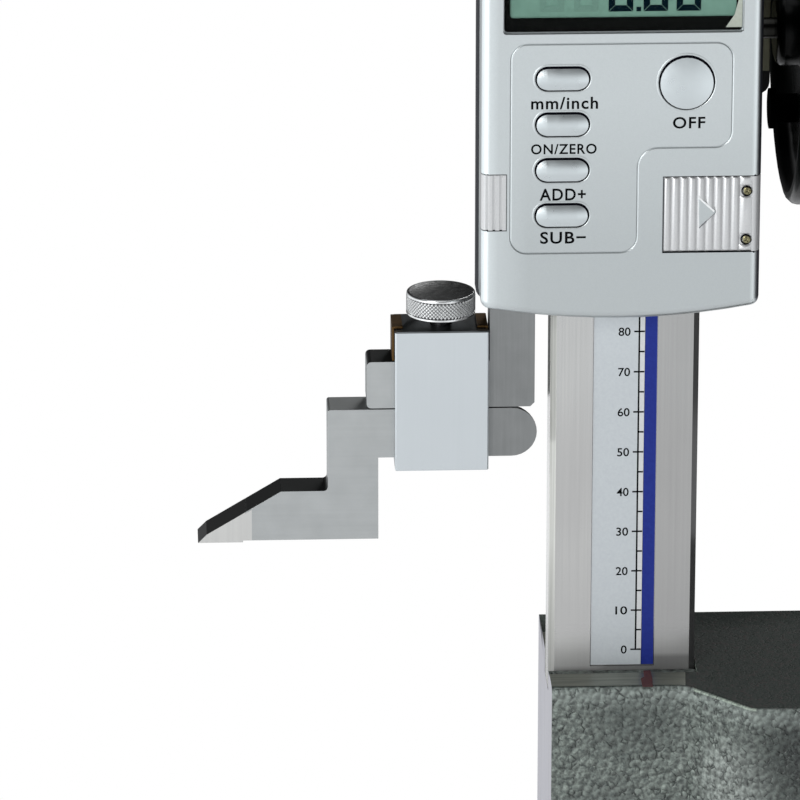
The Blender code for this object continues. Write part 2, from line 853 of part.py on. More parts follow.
bracket_half_width = 0.0216
bracket_half_height = 0.0138
bracket_base = 0.0024
ear_inner = 0.0090
ear_outer = 0.0160
bush_radius = 0.0040
bush_overhang = 0.0010
bracket_screw_radius = 0.0012
bracket_screw_head = 0.0022
bracket_screw_head_height = 0.0015
bracket_screw_fall = 0.0085
plate_gap_to_pinion = 0.0004
back_plate_thickness = 0.0020
back_plate_left = 0.0200
back_plate_right = 0.0360
rear_cover_left = 0.0240
rear_cover_right = 0.0363
rear_cover_depth = 0.0080
rear_cover_half_height = 0.0202
rear_cover_wall = 0.0020
rear_cover_round = 0.0030
rear_screw_radius = 0.0015
rear_screw_head = 0.0028
rear_screw_head_height = 0.0018
rear_screw_rise = 0.0100
plate_front = drive_depth + pitch_radius + tooth_module + plate_gap_to_pinion
cover_front = plate_front + back_plate_thickness + seat_gap


def bracket_screw_places():
    x = (ear_outer + bracket_half_width) / 2
    return [(side * x, drive_height - bracket_screw_fall) for side in (-1, 1)]


def make_bracket():
    near = frame_back + seat_gap
    far = plate_front - seat_gap
    low, high = drive_height - bracket_half_height, drive_height + bracket_half_height
    w, o, i = bracket_half_width, ear_outer, ear_inner
    shelf = near + bracket_base
    outline = [(-w, near), (w, near), (w, shelf), (o, shelf), (o, far), (i, far), (i, shelf), (-i, shelf),
               (-i, far), (-o, far), (-o, shelf), (-w, shelf)]
    bracket = prism("drive_bracket", outline, "Z", low, high, "satin_steel")
    reach = pitch_radius + tooth_module + pinion_window_spare
    window = block(
        "bracket_window_cut",
        (-pinion_window_half_width, near - overrun, drive_height - reach),
        (pinion_window_half_width, shelf + overrun, drive_height + reach),
    )
    bore = rod("bush_way", "X", drive_depth, drive_height, -o - overrun, o + overrun, bush_radius + fit_gap)
    cutters = [window, bore]
    for n, (x, z) in enumerate(bracket_screw_places()):
        cutters.append(rod(f"bracket_screw_way_{n}", "Y", x, z, near - overrun, shelf + overrun,
                           bracket_screw_radius + fit_gap, sides=12))
    for side in (-1, 1):
        cutters.append(rod(f"rear_tap_{side}", "Y", side * (i + o) / 2, drive_height + rear_screw_rise,
                           shelf + overrun, far + overrun, rear_screw_radius + fit_gap, sides=12))
    return cut(bracket, *cutters)


def make_bushes():
    made = []
    for side, word in ((-1, "left"), (1, "right")):
        inner, outer = side * (ear_inner - bush_overhang), side * ear_outer
        bore = shaft_radius + fit_gap / 2
        profile = [(inner, bore), (inner, bush_radius), (outer, bush_radius), (outer, bore)]
        made.append(turned(f"shaft_bush_{word}", profile, "X", drive_depth, drive_height, "bronze", 20))
    return made


def make_bracket_screws():
    made = []
    shelf = frame_back + seat_gap + bracket_base
    for word, (x, z) in zip(("left", "right"), bracket_screw_places()):
        under = shelf + fit_gap
        crown = under + bracket_screw_head_height
        tip = column_back + slide_gap + fit_gap
        profile = [(tip, 0), (tip, bracket_screw_radius), (under, bracket_screw_radius),
                   (under, bracket_screw_head), (crown, bracket_screw_head), (crown, 0)]
        made.append(turned(f"bracket_screw_{word}", profile, "Y", x, z, "black_oxide_steel", 12))
    return made


def make_back_plate():
    low, high = drive_height - bracket_half_height, drive_height + bracket_half_height
    plate = block(
        "back_plate",
        (-back_plate_left, plate_front, low),
        (back_plate_right, plate_front + back_plate_thickness, high),
        "ground_steel",
    )
    cutters = []
    for side in (-1, 1):
        cutters.append(rod(f"plate_screw_way_{side}", "Y", side * (ear_inner + ear_outer) / 2,
                           drive_height + rear_screw_rise, plate_front - overrun,
                           plate_front + back_plate_thickness + overrun, rear_screw_radius + fit_gap, sides=12))
    return cut(plate, *cutters)


def make_rear_cover():
    low, high = drive_height - rear_cover_half_height, drive_height + rear_cover_half_height
    outline = rounded_box(-rear_cover_left, low, rear_cover_right, high, rear_cover_round)
    far = cover_front + rear_cover_depth
    rings = [[at("Y", a, b, y) for a, b in ring] for ring, y in (
        (outline, cover_front), (outline, far - rear_cover_round / 2),
        (inset(outline, rear_cover_round / 6), far - rear_cover_round / 6),
        (inset(outline, rear_cover_round / 2), far))]
    cover = lofted("rear_cover", rings, "black_enamel")
    hollow = prism("rear_hollow_cut", inset(outline, rear_cover_wall), "Y", cover_front - overrun,
                   far - rear_cover_wall)
    cutters = [hollow]
    for side in (-1, 1):
        cutters.append(rod(f"cover_screw_way_{side}", "Y", side * (ear_inner + ear_outer) / 2,
                           drive_height + rear_screw_rise, cover_front, far + overrun,
                           rear_screw_radius + fit_gap, sides=12))
    return smooth(cut(cover, *cutters))


def make_rear_screws():
    made = []
    far = cover_front + rear_cover_depth
    for side, word in ((-1, "left"), (1, "right")):
        tip = plate_front - rear_screw_rise / 2
        under = far + fit_gap
        crown = under + rear_screw_head_height
        profile = [(tip, 0), (tip, rear_screw_radius), (under, rear_screw_radius), (under, rear_screw_head),
                   (crown - rear_screw_head_height / 2, rear_screw_head), (crown, rear_screw_head * 2 / 3),
                   (crown, 0)]
        made.append(turned(f"rear_screw_{word}", profile, "Y", side * (ear_inner + ear_outer) / 2,
                           drive_height + rear_screw_rise, "black_oxide_steel", 12))
    return made


# Slider lock: a thumb screw at the left that pushes a brass pad against the column

lock_screw_radius = 0.0019
lock_pad_length = 0.0025
lock_head_radius = 0.0058
lock_head_length = 0.0090
lock_neck_length = 0.0014


def make_lock():
    z = lock_height
    face = -half_column - slide_gap
    pad_end = face - lock_pad_length
    pad = turned("lock_pad", [(face, 0), (face, lock_screw_radius), (pad_end, lock_screw_radius), (pad_end, 0)],
                 "X", 0, z, "brass", 20)
    start = pad_end - fit_gap
    neck = -frame_left - lock_neck_length
    end = neck - lock_head_length
    rim = lock_head_radius / 8
    profile = [(start, 0), (start, lock_screw_radius), (neck, lock_screw_radius),
               (neck, lock_head_radius - rim), (neck - rim, lock_head_radius), (end + rim, lock_head_radius),
               (end, lock_head_radius - rim), (end, 0)]
    screw = turned("lock_screw", profile, "X", 0, z, "satin_chrome", 28)
    return pad, screw


# Display head: plate, shells, window, panel, boards and keys

window_left = 0.0301
window_right = 0.0250
window_round = 0.0008
window_thickness = 0.0012
window_rim = 0.0012
lcd_margin = 0.0002
lcd_thickness = 0.0025
key_axis = 0.01635
key_first_rise = 0.02535
key_pitch = 0.0109
key_length = 0.0119
key_height = 0.0051
key_proud = 0.0008
key_dome = 0.0006
key_clearance = 0.00035
key_flange = 0.0007
key_flange_thickness = 0.0008
key_travel = 0.0005
off_axis = 0.0121
off_rise = 0.05685
off_radius = 0.0061
door_left = 0.0071
door_low = 0.0163
door_high = 0.0344
door_tongue = 0.0007
door_tongue_thickness = 0.0008
door_clearance = 0.0002
door_rib_pitch = 0.0020
door_rib_width = 0.0009
door_rib_depth = 0.0004
door_screw_from_right = 0.0031
door_screw_from_low = 0.0028
door_screw_from_high = 0.0036
door_screw_radius = 0.0006
door_screw_head = 0.0010
door_screw_head_height = 0.0006
port_right = 0.0292
port_low = 0.02205
port_high = 0.03535
port_rib_count = 3
mat_thickness = 0.0012
board_thickness = 0.0016
board_margin = 0.0012
board_corner = 0.0010
cell_radius = 0.0058
cell_height = 0.0050
cell_edge = 0.0006
spring_thickness = 0.0003
spring_half_height = 0.0070
reader_half_width = 0.0084
reader_low = 0.05135
reader_high = 0.06735
reader_gap = 0.0004
wall_inside = head_face + head_wall
tongue_back = wall_inside + seat_gap + door_tongue_thickness
spring_back = tongue_back + fit_gap + spring_thickness
mat_front = wall_inside + seat_gap + key_flange_thickness + key_travel + fit_gap
board_front = mat_front + mat_thickness + seat_gap
head_left = head_axis - head_width / 2
head_right = head_axis + head_width / 2


def head_outline(shrink):
    """The display head from the front: straight sides, and a shallow arc below and above."""
    half = head_width / 2 - shrink
    corner = head_corner - shrink
    sweep = head_arc - shrink
    lean = math.degrees(math.asin((half - corner) / (sweep - corner)))
    fall = math.sqrt((sweep - corner) ** 2 - (half - corner) ** 2)
    low, high = head_bottom + shrink, head_bottom + head_height - shrink
    low_centre, high_centre = low + sweep, high - sweep
    low_corner, high_corner = low_centre - fall, high_centre + fall
    right, left = head_axis + half - corner, head_axis - half + corner
    return (
        arc(head_axis, low_centre, sweep, 270 - lean, 270 + lean, 10)
        + arc(right, low_corner, corner, 270 + lean, 360, 4)[1:]
        + arc(right, high_corner, corner, 0, 90 - lean, 4)
        + arc(head_axis, high_centre, sweep, 90 - lean, 90 + lean, 10)[1:]
        + arc(left, high_corner, corner, 90 + lean, 180, 4)[1:]
        + arc(left, low_corner, corner, 180, 270 - lean, 4)[:-1]
    )


def head_body(name, finish=None):
    """The front shell's outer form, with a round edge about its face."""
    rings = [[at("Y", a, b, front_shell_back) for a, b in head_outline(0)]]
    for step in range(5):
        lean = math.radians(90 * step / 4)
        depth = head_face + head_edge * (1 - math.sin(lean))
        rings.append([at("Y", a, b, depth) for a, b in head_outline(head_edge * (1 - math.cos(lean)))])
    return lofted(name, rings, finish)


def key_places():
    places = {}
    for i, word in enumerate(("key_subtract", "key_add", "key_on_zero", "key_mm_inch")):
        places[word] = (-key_axis, head_bottom + key_first_rise + i * key_pitch)
    return places


def door_profile(clearance):
    """The battery door's section across its slide: a slab with a tongue behind each long edge."""
    low, high = head_bottom + door_low - clearance, head_bottom + door_high + clearance
    tongue_front = wall_inside + seat_gap - clearance
    back = tongue_back + (spring_back - tongue_back + seat_gap if clearance else 0)
    face = head_face - overrun
    t = door_tongue
    return [(face, low), (tongue_front, low), (tongue_front, low - t), (back, low - t), (back, high + t),
            (tongue_front, high + t), (tongue_front, high), (face, high)]


def port_box(name, clearance):
    return block(
        name,
        (head_left - overrun, head_face - overrun, head_bottom + port_low - clearance),
        (-port_right + clearance, port_side_back + clearance, head_bottom + port_high + clearance),
    )


port_side_back = board_front + board_thickness + seat_gap


def make_front_shell():
    shell = head_body("housing_front", "silver_paint_abs")
    hollow = prism("front_hollow_cut", head_outline(head_wall), "Y", wall_inside, front_shell_back + overrun)
    posts = []
    for i, (x, z) in enumerate(frame_screw_places()):
        posts.append(rod(f"front_post_{i}", "Y", x, z, wall_inside - head_wall / 2, front_shell_back, post_radius,
                         sides=16))
    cutters = []
    for i, (x, z) in enumerate(frame_screw_places()):
        cutters.append(rod(f"post_tap_{i}", "Y", x, z, front_shell_back - frame_screw_grip - seat_gap,
                           front_shell_back + overrun, frame_screw_radius + fit_gap, sides=12))
    for word, (x, z) in key_places().items():
        cutters.append(prism(f"{word}_cut", stadium(x, z, key_length, key_height, key_clearance), "Y",
                             head_face - overrun, wall_inside + overrun / 4))
    cutters.append(prism("key_off_cut", circle(off_axis, head_bottom + off_rise, off_radius + key_clearance), "Y",
                         head_face - overrun, wall_inside + overrun / 4))
    low, high = head_bottom + window_rise, head_bottom + window_rise + window_height
    cutters.append(prism("window_seat_cut", rounded_box(-window_left, low, window_right, high, window_round), "Y",
                         head_face - overrun, head_face + window_thickness + seat_gap))
    rim = window_rim
    cutters.append(block("window_cut", (-window_left + rim, head_face, low + rim),
                         (window_right - rim, wall_inside + overrun / 4, high - rim)))
    door = prism("door_way_cut", door_profile(door_clearance), "X", door_left - door_clearance,
                 head_right + overrun)
    cutters += [door, port_box("port_way_cut", door_clearance)]
    cut(shell, hollow)
    join(shell, *posts)
    return smooth(cut(shell, *cutters))


def make_window():
    low, high = head_bottom + window_rise + fit_gap, head_bottom + window_rise + window_height - fit_gap
    outline = rounded_box(-window_left + fit_gap, low, window_right - fit_gap, high, window_round - fit_gap)
    pane = prism("display_window", outline, "Y", head_face + fit_gap, head_face + window_thickness, "clear_acrylic")
    front = wall_inside + seat_gap
    gap = lcd_margin - window_rim
    panel = block(
        "lcd_panel",
        (-window_left - gap, front, head_bottom + window_rise - gap),
        (window_right + gap, front + lcd_thickness, head_bottom + window_rise + window_height + gap),
        "lcd_glass",
    )
    return pane, panel


def make_keys():
    """Each key has a domed cap through the shell and a flange behind it that keeps it in."""
    made = {}
    back = wall_inside + seat_gap + key_flange_thickness
    front = wall_inside + seat_gap
    crown = head_face - key_proud
    steps = [(back, key_flange), (front, key_flange), (front, 0), (crown + key_dome, 0)]
    steps += [(crown + key_dome * (1 - math.sin(math.radians(a))), -key_dome * (1 - math.cos(math.radians(a))))
              for a in (35, 65, 90)]
    for word, (x, z) in key_places().items():
        rings = [[at("Y", a, b, y) for a, b in stadium(x, z, key_length, key_height, grow)] for y, grow in steps]
        made[word] = smooth(lofted(word, rings, "silver_paint_abs"))
    z = head_bottom + off_rise
    rings = [[at("Y", a, b, y) for a, b in circle(off_axis, z, off_radius + grow)] for y, grow in steps]
    made["key_off"] = smooth(lofted("key_off", rings, "silver_paint_abs"))
    return made


def make_door():
    """The battery door is the piece of the shell's own form that its opening leaves out."""
    door = prism("battery_door", door_profile(0), "X", door_left, head_right + overrun / 2, "silver_paint_abs")
    keep_inside(door, head_body("door_form"))
    low, high = head_bottom + door_low - overrun, head_bottom + door_high + overrun
    cutters = []
    count = math.floor((head_right - head_edge - door_left) / door_rib_pitch)
    for i in range(count):
        x = door_left + (i + 1) * door_rib_pitch
        if x > door_screw_x() - 2 * door_screw_head:
            break
        cutters.append(block(f"door_groove_{i}", (x - door_rib_width / 2, head_face - overrun, low),
                             (x + door_rib_width / 2, head_face + door_rib_depth, high)))
    for i, z in enumerate(door_screw_heights()):
        top = head_face + door_screw_head_height + fit_gap
        profile = [(head_face - overrun, 0), (head_face - overrun, door_screw_head + fit_gap),
                   (top, door_screw_head + fit_gap), (top, door_screw_radius + fit_gap),
                   (tongue_back + overrun, door_screw_radius + fit_gap), (tongue_back + overrun, 0)]
        cutters.append(turned(f"door_screw_way_{i}", profile, "Y", door_screw_x(), z, sides=16))
    inner = block("door_end_cut", (head_right - head_wall - seat_gap, wall_inside, head_bottom),
                  (head_right + overrun, front_shell_back, head_bottom + head_height))
    return smooth(cut(door, inner, *cutters))


def door_screw_x():
    return head_right - door_screw_from_right


def door_screw_heights():
    return (head_bottom + door_low + door_screw_from_low, head_bottom + door_high - door_screw_from_high)


def make_door_fittings():
    middle = head_bottom + (door_low + door_high) / 2
    left = (door_left + door_screw_x()) / 2 - cell_radius
    near = tongue_back + fit_gap
    spring = block("door_spring", (left, near, middle - spring_half_height),
                   (door_screw_x() - door_screw_head, near + spring_thickness, middle + spring_half_height),
                   "spring_steel")
    made = [spring]
    for word, z in zip(("low", "high"), door_screw_heights()):
        crown = head_face + fit_gap / 2
        under = crown + door_screw_head_height
        tip = tongue_back - fit_gap
        profile = [(tip, 0), (tip, door_screw_radius), (under, door_screw_radius), (under, door_screw_head),
                   (crown + door_screw_head_height / 4, door_screw_head), (crown, door_screw_head * 3 / 4), (crown, 0)]
        made.append(turned(f"door_screw_{word}", profile, "Y", door_screw_x(), z, "brass", 12))
    return made


def make_cell():
    x = (door_left + door_screw_x()) / 2
    z = head_bottom + (door_low + door_high) / 2
    near = spring_back + seat_gap
    far = near + cell_height
    edge = cell_edge
    profile = [(near, 0), (near, cell_radius * 3 / 4), (near + edge, cell_radius * 3 / 4),
               (near + edge, cell_radius), (far - edge, cell_radius), (far, cell_radius - edge), (far, 0)]
    return turned("button_cell", profile, "Y", x, z, "cell_steel", 20)


def make_port():
    cover = head_body("port_cover", "silver_paint_abs")
    keep_inside(cover, port_box("port_form", 0))
    hollow = prism("port_hollow_cut", head_outline(head_wall), "Y", wall_inside, front_shell_back + overrun)
    low, high = head_bottom + port_low - overrun, head_bottom + port_high + overrun
    cutters = [hollow]
    for i in range(port_rib_count):
        x = -port_right - (i + 0.75) * door_rib_pitch * 0.8
        cutters.append(block(f"port_groove_{i}", (x - door_rib_width / 3, head_face - overrun, low),
                             (x + door_rib_width / 3, head_face + door_rib_depth, high)))
    return smooth(cut(cover, *cutters))


def make_boards():
    """The key mat and the circuit board both step round the battery's corner of the head."""
    edge = head_wall + board_margin
    left, right = head_left + edge, head_right - edge
    low, high = head_bottom + frame_screw_low + post_radius + seat_gap, head_bottom + window_rise - board_margin
    notch = head_bottom + door_high + door_tongue + door_clearance + board_margin
    waist = door_left - door_clearance - board_margin
    inner_left = -port_right + board_margin
    mat = prism(
        "key_mat",
        [(inner_left, low), (waist, low), (waist, notch), (right, notch), (right, high), (inner_left, high)],
        "Y", mat_front, mat_front + mat_thickness, "grey_rubber",
    )
    board_high = head_bottom + window_rise + window_height - seat_gap
    board = prism(
        "main_board",
        rounded_path([(left, low, 0), (waist, low, 0), (waist, notch, 0), (right, notch, 0),
                      (right, board_high, board_corner), (left, board_high, board_corner)]),
        "Y", board_front, board_front + board_thickness, "circuit_board",
    )
    cut(board, block("board_port_cut", (left - overrun, board_front - overrun, head_bottom + port_low - board_margin),
                     (-port_right + board_margin, board_front + board_thickness + overrun,
                      head_bottom + port_high + board_margin)))
    near = board_front + board_thickness + fit_gap
    socket = block(
        "data_socket",
        (-port_right + seat_gap, near, head_bottom + port_low + board_margin),
        (-port_right + head_wall * 3, front_shell_back - seat_gap, head_bottom + port_high - board_margin),
        "dark_grey_abs",
    )
    return mat, board, socket


def make_rear_shell():
    outline = head_outline(-rear_shell_margin)
    shell = prism("housing_rear", outline, "Y", rear_shell_front, rear_shell_back, "dark_grey_abs")
    cutters = [reader_window("rear_reader_cut", rear_shell_front, rear_shell_back)]
    for i, (x, z) in enumerate(frame_screw_places()):
        cutters.append(rod(f"rear_shell_way_{i}", "Y", x, z, rear_shell_front - overrun, rear_shell_back + overrun,
                           frame_screw_radius + fit_gap, sides=12))
    return cut(shell, *cutters)


def reader_window(name, near, far):
    return block(name, (-reader_half_width - seat_gap, near - overrun, head_bottom + reader_low - seat_gap),
                 (reader_half_width + seat_gap, far + overrun, head_bottom + reader_high + seat_gap))


def make_head_plate():
    near = rear_shell_back + seat_gap
    low, high = frame_bottom + seat_gap, frame_top - seat_gap
    plate = block("head_plate", (-frame_left + head_plate_inset, near, low),
                  (frame_right - head_plate_inset, head_plate_back, high), "ground_steel")
    cutters = [reader_window("plate_reader_cut", near, head_plate_back)]
    for i, (x, z) in enumerate(frame_screw_places()):
        cutters.append(rod(f"plate_way_{i}", "Y", x, z, near - overrun, head_plate_back + overrun,
                           frame_screw_radius + fit_gap, sides=12))
    return cut(plate, *cutters)


def make_reader():
    return block(
        "reading_head",
        (-reader_half_width, board_front + board_thickness + seat_gap, head_bottom + reader_low),
        (reader_half_width, column_front - reader_gap, head_bottom + reader_high),
        "circuit_board",
    )


# Scriber clamp on the arm, its brass shoe and its knurled screw

clamp_right = -frame_left - seat_gap
clamp_left = clamp_right - clamp_width
clamp_axis = (clamp_left + clamp_right) / 2
clamp_face = frame_face - slide_gap - clamp_wall
clamp_back = arm_back + slide_gap + clamp_wall
clamp_middle = (clamp_face + clamp_back) / 2
bar_top = arm_bottom - seat_gap
bar_bottom = bar_top - bar_height
clamp_edge = 0.0003
shoe_bottom = arm_top + seat_gap
shoe_top = shoe_bottom + shoe_thickness
clamp_window_top = shoe_top + shoe_lift + fit_gap
clamp_bottom = bar_bottom - seat_gap - clamp_floor
clamp_top = clamp_window_top + clamp_head
shoe_half_width = 0.0047
shoe_return = 0.0020
shoe_hole_gap = 0.0003
clamp_screw_radius = 0.0025
clamp_screw_neck = 0.0024
clamp_screw_head = 0.00813
clamp_screw_head_height = 0.0055
clamp_screw_lip = 0.0009
clamp_screw_dish = 0.0005
clamp_screw_ring = 0.0064
shoe_slot = shoe_thickness + 2 * fit_gap


def make_clamp():
    clamp = block("clamp_box", (clamp_left, clamp_face, clamp_bottom), (clamp_right, clamp_back, clamp_top),
                  "satin_chrome")
    window = block(
        "clamp_window_cut",
        (clamp_left - overrun, frame_face - slide_gap, bar_bottom - seat_gap),
        (clamp_right + overrun, arm_back + slide_gap, clamp_window_top),
    )
    tap = rod("clamp_tap", "Z", clamp_axis, clamp_middle, clamp_window_top - overrun, clamp_top + overrun,
              clamp_screw_radius + seat_gap)
    notch = block(
        "shoe_notch_cut",
        (clamp_right - shoe_slot, clamp_middle - shoe_half_width - fit_gap, clamp_window_top - overrun),
        (clamp_right + overrun, clamp_middle + shoe_half_width + fit_gap, clamp_top + overrun),
    )
    bevelled(clamp, clamp_edge)
    return cut(clamp, window, tap, notch)


def make_shoe():
    """A brass strip under the screw, with its ends bent up the clamp's sides and over its top."""
    t = shoe_thickness
    left, right = clamp_left - fit_gap - t, clamp_right - fit_gap
    over = clamp_top + fit_gap
    back_left, back_right = left + t + shoe_return, right - t - shoe_return
    outline = [
        (left, shoe_bottom), (right, shoe_bottom), (right, over + t), (back_right, over + t), (back_right, over),
        (right - t, over), (right - t, shoe_top), (left + t, shoe_top), (left + t, over), (back_left, over),
        (back_left, over + t), (left, over + t),
    ]
    return prism("clamp_shoe", outline, "Y", clamp_middle - shoe_half_width, clamp_middle + shoe_half_width, "brass")


def make_clamp_screw():
    tip = shoe_top + fit_gap
    under = clamp_top + clamp_screw_neck
    crown = under + clamp_screw_head_height
    lip = clamp_screw_lip
    ring = clamp_screw_ring
    profile = [
        (tip, 0), (tip, clamp_screw_radius), (under, clamp_screw_radius), (under, clamp_screw_head - lip),
        (under + lip / 2, clamp_screw_head), (crown - lip, clamp_screw_head), (crown, clamp_screw_head - lip),
        (crown - clamp_screw_dish, ring + lip / 4), (crown - clamp_screw_dish, ring),
        (crown, ring - lip / 4), (crown - clamp_screw_dish, ring / 2), (crown - clamp_screw_dish, 0),
    ]
    return turned("clamp_screw", profile, "Z", clamp_axis, clamp_middle, "satin_steel", 36)


# Stepped scriber with its brazed carbide tip

carbide_foot = 0.0900
carbide_head = 0.0893
tip_flat = 0.0004
tip_bevel = 0.0021
scriber_bottom = rest_height + carbide_proud
foot_top = scriber_bottom + foot_height


def slope_height(reach):
    """Height of the scriber's slope at this reach to the left of the column's axis."""
    share = (tip_reach - reach) / (tip_reach - slope_from)
    return scriber_bottom + tip_flat + (foot_height - tip_flat) * share


def make_scriber():
    end = -scriber_end - bar_height / 2
    corners = [
        (-carbide_head, slope_height(carbide_head), 0), (-slope_from, foot_top, 0),
        (-step_left, foot_top, scriber_fillet), (-step_left, bar_top, scriber_round),
    ]
    corners += [(a, b, 0) for a, b in arc(end, bar_top - bar_height / 2, bar_height / 2, 90, -90, 16)]
    corners += [(-step_right, bar_bottom, 0), (-step_right, scriber_bottom, 0), (-carbide_foot, scriber_bottom, 0)]
    scriber = prism("scriber", rounded_path(corners), "Y", frame_face, arm_back, "satin_steel")
    tip = prism("carbide_tip", [
        (-tip_reach, rest_height), (-carbide_foot - fit_gap, rest_height),
        (-carbide_head - fit_gap, slope_height(carbide_head + fit_gap)),
        (tip_bevel - tip_reach, slope_height(tip_reach - tip_bevel)),
    ], "Y", frame_face, arm_back, "carbide")
    return scriber, tip


# The whole gauge


def make_gauge():
    clear_scene()
    stand = pivot("stand", (0, 0, 0))
    carry(stand, make_base(), *make_column_screws(), make_column(), *make_scale(), make_column_cap(), make_rack(),
          *make_rack_screws())
    carriage = pivot("carriage", (0, 0, head_bottom), stand)
    pane, panel = make_window()
    mat, board, socket = make_boards()
    carry(carriage, make_frame(), *make_gib(), *make_frame_screws(), make_bracket(), *make_bushes(),
          *make_bracket_screws(), make_back_plate(), make_rear_cover(), *make_rear_screws(), make_head_plate(),
          make_rear_shell(), make_front_shell(), pane, panel, mat, board, socket, make_reader(), make_cell())
    drive = pivot("drive", (0, drive_depth, drive_height), carriage)
    handle, pin = make_handle()
    carry(drive, make_shaft(), make_pinion(), make_wheel(), make_wheel_screw(), pin)
    carry(pivot("handle_axis", (web_left, handle_depth, handle_height), drive), handle)
    for word, key in make_keys().items():
        x, z = key_places().get(word, (off_axis, head_bottom + off_rise))
        carry(pivot(f"{word}_axis", (x, head_face, z), carriage), key)
    door_place = (door_left, head_face, head_bottom + (door_low + door_high) / 2)
    carry(pivot("door_slide", door_place, carriage), make_door(), *make_door_fittings())
    port_place = (-port_right, head_face, head_bottom + (port_low + port_high) / 2)
    carry(pivot("port_slide", port_place, carriage), make_port())
    pad, thumb = make_lock()
    carry(carriage, pad)
    carry(pivot("lock_screw_axis", (-frame_left, 0, lock_height), carriage), thumb)
    clamp = pivot("clamp_slide", (clamp_axis, clamp_middle, arm_bottom), carriage)
    carry(clamp, make_clamp(), make_shoe())
    carry(pivot("clamp_screw_axis", (clamp_axis, clamp_middle, clamp_top), clamp), make_clamp_screw())
    carry(pivot("scriber_slide", (clamp_axis, clamp_middle, bar_bottom), clamp), *make_scriber())


make_gauge()
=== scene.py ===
import json
import math

import bmesh
import bpy
from mathutils import Matrix, Vector


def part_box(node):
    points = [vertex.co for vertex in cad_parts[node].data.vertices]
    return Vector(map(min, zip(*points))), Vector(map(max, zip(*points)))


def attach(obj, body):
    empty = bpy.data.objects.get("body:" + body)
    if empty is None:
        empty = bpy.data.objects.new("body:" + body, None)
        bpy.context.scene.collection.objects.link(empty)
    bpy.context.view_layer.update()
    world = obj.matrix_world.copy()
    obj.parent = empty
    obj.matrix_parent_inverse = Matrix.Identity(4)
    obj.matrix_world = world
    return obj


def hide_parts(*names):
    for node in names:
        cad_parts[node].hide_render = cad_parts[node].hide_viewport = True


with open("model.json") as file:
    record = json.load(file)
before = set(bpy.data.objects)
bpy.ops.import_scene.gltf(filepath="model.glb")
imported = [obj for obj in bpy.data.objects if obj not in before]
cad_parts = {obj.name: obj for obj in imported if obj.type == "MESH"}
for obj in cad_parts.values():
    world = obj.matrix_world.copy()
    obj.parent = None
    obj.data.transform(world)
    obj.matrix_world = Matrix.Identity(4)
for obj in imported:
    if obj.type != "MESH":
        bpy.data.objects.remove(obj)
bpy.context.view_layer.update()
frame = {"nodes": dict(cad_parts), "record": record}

# The looks of a digital height gauge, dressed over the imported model. Sizes are in metres, and places
# are worked out from the frame's own pieces: the scale's zero, the column's front and the head's face.
mm = 0.001
nodes = frame["nodes"]
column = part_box("column")
columnFront = column[0].y
castingLow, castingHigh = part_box("base_casting")
baseTop = castingHigh.z
scaleZero = baseTop + 4.15 * mm
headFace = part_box("housing_front")[0].y
print("frame loaded:", len(nodes), "nodes")


# Small helpers


# A point from millimetres right of the column's axis and above the scale's zero, at a depth
def place(x, z, y=0.0):
    return Vector((x * mm, y, scaleZero + z * mm))


def linear(hexColour):
    channels = [int(hexColour[i:i + 2], 16) / 255 for i in (1, 3, 5)]
    return [c / 12.92 if c <= 0.04045 else ((c + 0.055) / 1.055) ** 2.4 for c in channels] + [1.0]


# Links an output, or a node's first output, to an input, or fills the input with a fixed value
def feed(tree, socket, value):
    if isinstance(value, bpy.types.Node):
        value = value.outputs[0]
    if isinstance(value, bpy.types.NodeSocket):
        tree.links.new(value, socket)
    else:
        socket.default_value = value


# Adds a node of any kind with its settings, and feeds its inputs, given in their order or by their names
def addNode(tree, kind, *values, **settings):
    node = tree.nodes.new(kind)
    for name, value in settings.items():
        setattr(node, name, value)
    named = values[0] if values and isinstance(values[0], dict) else dict(enumerate(values))
    for name, value in named.items():
        feed(tree, node.inputs[name], value)
    return node


def newObject(name, data):
    made = bpy.data.objects.new(name, data)
    bpy.context.scene.collection.objects.link(made)
    return made


def objectFrom(name, shape, finish=None, smoothAngle=None):
    bmesh.ops.recalc_face_normals(shape, faces=shape.faces)
    mesh = bpy.data.meshes.new(name)
    shape.to_mesh(mesh)
    shape.free()
    if finish:
        mesh.materials.append(finish)
    if smoothAngle is not None:
        mesh.shade_smooth()
        mesh.set_sharp_from_angle(angle=math.radians(smoothAngle))
    return newObject(name, mesh)


def bridge(shape, near, far):
    for i in range(len(near)):
        j = (i + 1) % len(near)
        shape.faces.new((near[i], near[j], far[j], far[i]))


# A closed body through rings of points, each with the same number of them
def lofted(name, rings, finish=None, smoothAngle=None):
    shape = bmesh.new()
    loops = [[shape.verts.new(point) for point in ring] for ring in rings]
    for lower, upper in zip(loops, loops[1:]):
        bridge(shape, lower, upper)
    shape.faces.new(loops[0])
    shape.faces.new(loops[-1])
    return objectFrom(name, shape, finish, smoothAngle)


# A closed ring whose section runs through loops of points
def rimRound(name, loops, finish=None, smoothAngle=None):
    shape = bmesh.new()
    rows = [[shape.verts.new(point) for point in loop] for loop in loops]
    for k, near in enumerate(rows):
        bridge(shape, near, rows[(k + 1) % len(rows)])
    return objectFrom(name, shape, finish, smoothAngle)


# An outline in millimetres on the scale's plane, given thickness in depth
def facePrism(name, outline, near, far, finish=None):
    return lofted(name, [[place(x, z, y) for x, z in outline] for y in (near, far)], finish)


# An outline seen from above, given thickness in height
def planPrism(name, outline, low, high, finish=None):
    return lofted(name, [[Vector((x, y, z)) for x, y in outline] for z in (low, high)], finish)


